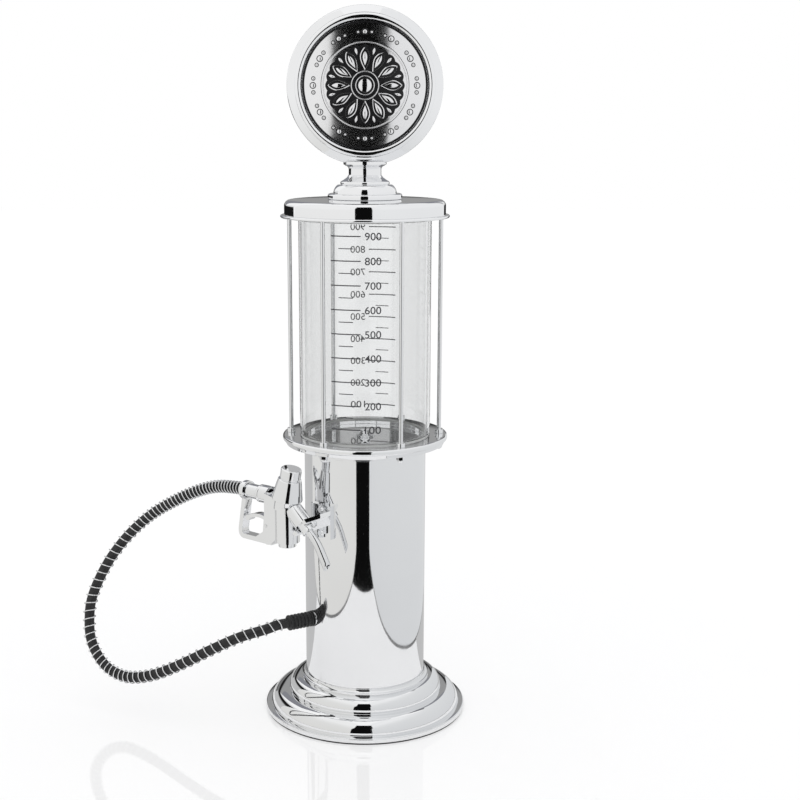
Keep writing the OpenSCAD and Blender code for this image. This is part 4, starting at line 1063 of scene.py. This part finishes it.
def glow(name, *stops):
    """A glowing surface. Each stop is a height in metres with its grey or colour. A perfectly sharp
    mirror, which only the floor is, doesn't see it."""
    made = bpy.data.materials.new(name)
    made.use_nodes = True
    tree = made.node_tree
    tree.nodes.clear()
    link = tree.links.new
    out, light, clear, pick, rays, place, part, ramp = (
        tree.nodes.new("ShaderNode" + kind)
        for kind in ("OutputMaterial", "Emission", "BsdfTransparent", "MixShader", "LightPath", "TexCoord",
                     "SeparateXYZ", "ValToRGB")
    )
    while len(ramp.color_ramp.elements) < len(stops):
        ramp.color_ramp.elements.new(0.5)
    if len(stops) == 1:
        ramp.color_ramp.elements.remove(ramp.color_ramp.elements[1])
    for spot, (height, color) in zip(ramp.color_ramp.elements, stops):
        spot.position = height
        spot.color = (*color, 1) if isinstance(color, tuple) else (color, color, color, 1)
    link(place.outputs["Object"], part.inputs[0])
    link(part.outputs["Z"], ramp.inputs["Fac"])
    link(ramp.outputs["Color"], light.inputs["Color"])
    link(rays.outputs["Is Singular Ray"], pick.inputs["Fac"])
    link(light.outputs[0], pick.inputs[1])
    link(clear.outputs[0], pick.inputs[2])
    link(pick.outputs[0], out.inputs["Surface"])
    return made


def sheet(name, points, faces, material, seen="glossy"):
    """A sheet that only mirrors see, or only what shows through the clear canister."""
    mesh = bpy.data.meshes.new(name)
    mesh.from_pydata(points, [], faces)
    mesh.materials.append(material)
    piece = bpy.data.objects.new(name, mesh)
    scene.collection.objects.link(piece)
    for kind in ("camera", "diffuse", "glossy", "transmission", "volume_scatter", "shadow"):
        setattr(piece, "visible_" + kind, kind == seen)
    return piece


def card(name, corners, material, seen="glossy"):
    return sheet(name, corners, [list(range(len(corners)))], material, seen)


def upright(name, a, b, low, high, material, seen="glossy"):
    return card(name, [(*a, low), (*b, low), (*b, high), (*a, high)], material, seen)


def tent(name, outline, opening, material, hem):
    """A curved wall that stands on an outline of (x, y) points, front edge first. Its upper part
    gives way sideways by opening at the front edge, and less and less after that. Its far end
    is low."""
    line, _ = spaced(smooth_route([Vector((x, y, 0)) for x, y in outline], 12), 60)
    row = len(line)
    points = []
    for z, share in ((0, 0), (3, 0), (230, 0), (330, 1), (1000, 1)):
        for k, here in enumerate(line):
            top = z if k < row * 0.85 else min(z, 250 + z / 100)
            points.append((here + Vector((opening * share * max(0, 1 - k / 20) ** 2, 0, top))) * MM)

    def strips(first, last):
        return [[j * row + k, j * row + k + 1, (j + 1) * row + k + 1, (j + 1) * row + k]
                for j in range(first, last) for k in range(row - 1)]

    sheet(name, points, strips(1, 4), material)
    sheet(name + "_hem", points, strips(0, 1), hem)


TENT_LEFT = [
    (-124, -440), (-128, -380), (-138, -324), (-160, -264), (-185, -206), (-215, -140), (-244, -68),
    (-267, 2), (-300, 62), (-365, 125), (-450, 210),
]
TENT_RIGHT = [
    (62, -450), (72, -391), (97, -305), (126, -206), (151, -125), (167, -52), (171, 25), (161, 106),
    (137, 198), (118, 250),
]
warm_grey = glow(
    "tent_warm", (0.0, (0.77, 0.765, 0.745)), (0.2, (0.80, 0.80, 0.785)), (0.42, (0.93, 0.93, 0.925)),
)
cool_grey = glow(
    "tent_cool", (0.0, (0.71, 0.72, 0.73)), (0.2, (0.76, 0.77, 0.775)), (0.42, (0.90, 0.905, 0.91)),
)
edge_grey = glow("tent_edge", (0.0, 0.2))
CARD_Z = 0.0015  # cards that lie on the floor
night = glow("night", (0.0, 0.004))
back_grey = glow(
    "back_grey",
    (0.0, 0.03), (0.05, 0.05), (0.12, 0.22), (0.22, 0.20), (0.28, 0.01), (0.37, 0.01), (0.41, 0.33),
)
side_grey = glow("side_grey", (0.0, 0.55), (0.18, 0.55), (0.24, 0.01), (0.37, 0.01), (0.41, 0.8))
high_grey = glow("high_grey", (0.0, (0.25, 0.255, 0.28)))
dish_dark = glow("dish_dark", (0.0, 0.08), (0.46, 0.12), (0.54, 0.5), (0.60, 0.2))
tent("tent_left", TENT_LEFT, 22, warm_grey, edge_grey)
tent("tent_right", TENT_RIGHT, 14, cool_grey, edge_grey)
upright("front_night", (-1.2, -1.0), (1.2, -1.0), -0.01, 1.6, night)
for name, half, near, far, material in (
    ("front_floor_night", 1.2, -1.0, -0.33, night),
    ("back_floor_grey", 0.9, 0.05, 0.98, glow("back_floor", (0.0, 0.55))),
):
    corners = ((-half, near), (half, near), (half, far), (-half, far))
    card(name, [(x, y, CARD_Z) for x, y in corners], material)
upright("side_left", (-0.45, 0.21), (-0.62, 1.0), 0, 0.5, side_grey)
upright("side_right", (0.118, 0.25), (0.62, 1.0), 0, 0.5, side_grey)
upright("back_left", (-0.62, 1.0), (-0.04, 1.0), 0, 0.5, back_grey)
upright("back_right", (0.04, 1.0), (0.62, 1.0), 0, 0.5, back_grey)
upright("back_middle", (-0.04, 1.0), (0.04, 1.0), 0, 0.5, glow("back_middle", (0.0, 0.5)))
upright("back_high", (-0.62, 1.0), (0.62, 1.0), 0.5, 1.2, high_grey)
for side in (-1, 1):
    upright("side_flag", (side * 0.5, -0.35), (side * 0.5, 0.42), 0.05, 1.0, edge_grey, "transmission")
    upright("dish_flag", (side * 0.62, 1.0), (side * 0.05, 1.0), 0.40, 1.3, dish_dark, "transmission")
dish_middle = glow("dish_middle", (0.0, 0.45))
upright("dish_flag_middle", (-0.05, 1.0), (0.05, 1.0), 0.40, 1.3, dish_middle, "transmission")

# The floor is white to the camera, and its level differs for what chrome and the canister show.
FLOOR_HALF, FLOOR_MIRROR, STRAIGHT_LEVEL, MIRRORED_LEVEL = 6, 0.12, 0.455, 0.36
floor_mesh = bpy.data.meshes.new("floor")
floor_corners = [(x * FLOOR_HALF, y * FLOOR_HALF, 0) for x, y in ((-1, -1), (1, -1), (1, 1), (-1, 1))]
floor_mesh.from_pydata(floor_corners, [], [[0, 1, 2, 3]])
floor = bpy.data.objects.new("floor", floor_mesh)
scene.collection.objects.link(floor)
floor_finish = bpy.data.materials.new("floor_white")
floor_finish.use_nodes = True
tree = floor_finish.node_tree
tree.nodes.clear()
link = tree.links.new
out = tree.nodes.new("ShaderNodeOutputMaterial")
matte, shine, lift = (
    tree.nodes.new("ShaderNode" + kind) for kind in ("BsdfDiffuse", "BsdfGlossy", "Emission")
)
mix, add = tree.nodes.new("ShaderNodeMixShader"), tree.nodes.new("ShaderNodeAddShader")
matte.inputs["Color"].default_value = (0.55, 0.55, 0.555, 1)
shine.inputs["Color"].default_value = (1, 1, 1, 1)
shine.inputs["Roughness"].default_value = 0
mix.inputs["Fac"].default_value = FLOOR_MIRROR
rays = tree.nodes.new("ShaderNodeLightPath")
straight, straight_level, mirrored_level, level = (tree.nodes.new("ShaderNodeMath") for _ in range(4))
straight.operation = "MAXIMUM"
link(rays.outputs["Is Camera Ray"], straight.inputs[0])
link(rays.outputs["Is Transmission Ray"], straight.inputs[1])
for node, seen, amount in (
    (straight_level, straight.outputs[0], STRAIGHT_LEVEL),
    (mirrored_level, rays.outputs["Is Glossy Ray"], MIRRORED_LEVEL),
):
    node.operation, node.inputs[1].default_value = "MULTIPLY", amount
    link(seen, node.inputs[0])
level.operation = "MAXIMUM"
link(straight_level.outputs[0], level.inputs[0])
link(mirrored_level.outputs[0], level.inputs[1])
link(level.outputs[0], lift.inputs["Strength"])
link(matte.outputs[0], mix.inputs[1])
link(shine.outputs[0], mix.inputs[2])
link(mix.outputs[0], add.inputs[0])
link(lift.outputs[0], add.inputs[1])
link(add.outputs[0], out.inputs["Surface"])
floor_mesh.materials.append(floor_finish)

world = bpy.data.worlds.new("studio")
scene.world = world
world.use_nodes = True
tree = world.node_tree
link = tree.links.new
sky = tree.nodes["Background"]
sky.inputs["Color"].default_value = (1, 1, 1, 1)
rays = tree.nodes.new("ShaderNodeLightPath")
first, second = (tree.nodes.new("ShaderNodeMath") for _ in range(2))
for node, a, b in ((first, rays.outputs["Is Camera Ray"], rays.outputs["Is Glossy Ray"]),
                   (second, first.outputs[0], rays.outputs["Is Transmission Ray"])):
    node.operation = "MAXIMUM"
    link(a, node.inputs[0])
    link(b, node.inputs[1])
level = tree.nodes.new("ShaderNodeMapRange")
level.inputs["To Min"].default_value = 0.9
level.inputs["To Max"].default_value = 1.0
link(second.outputs[0], level.inputs["Value"])
link(level.outputs[0], sky.inputs["Strength"])
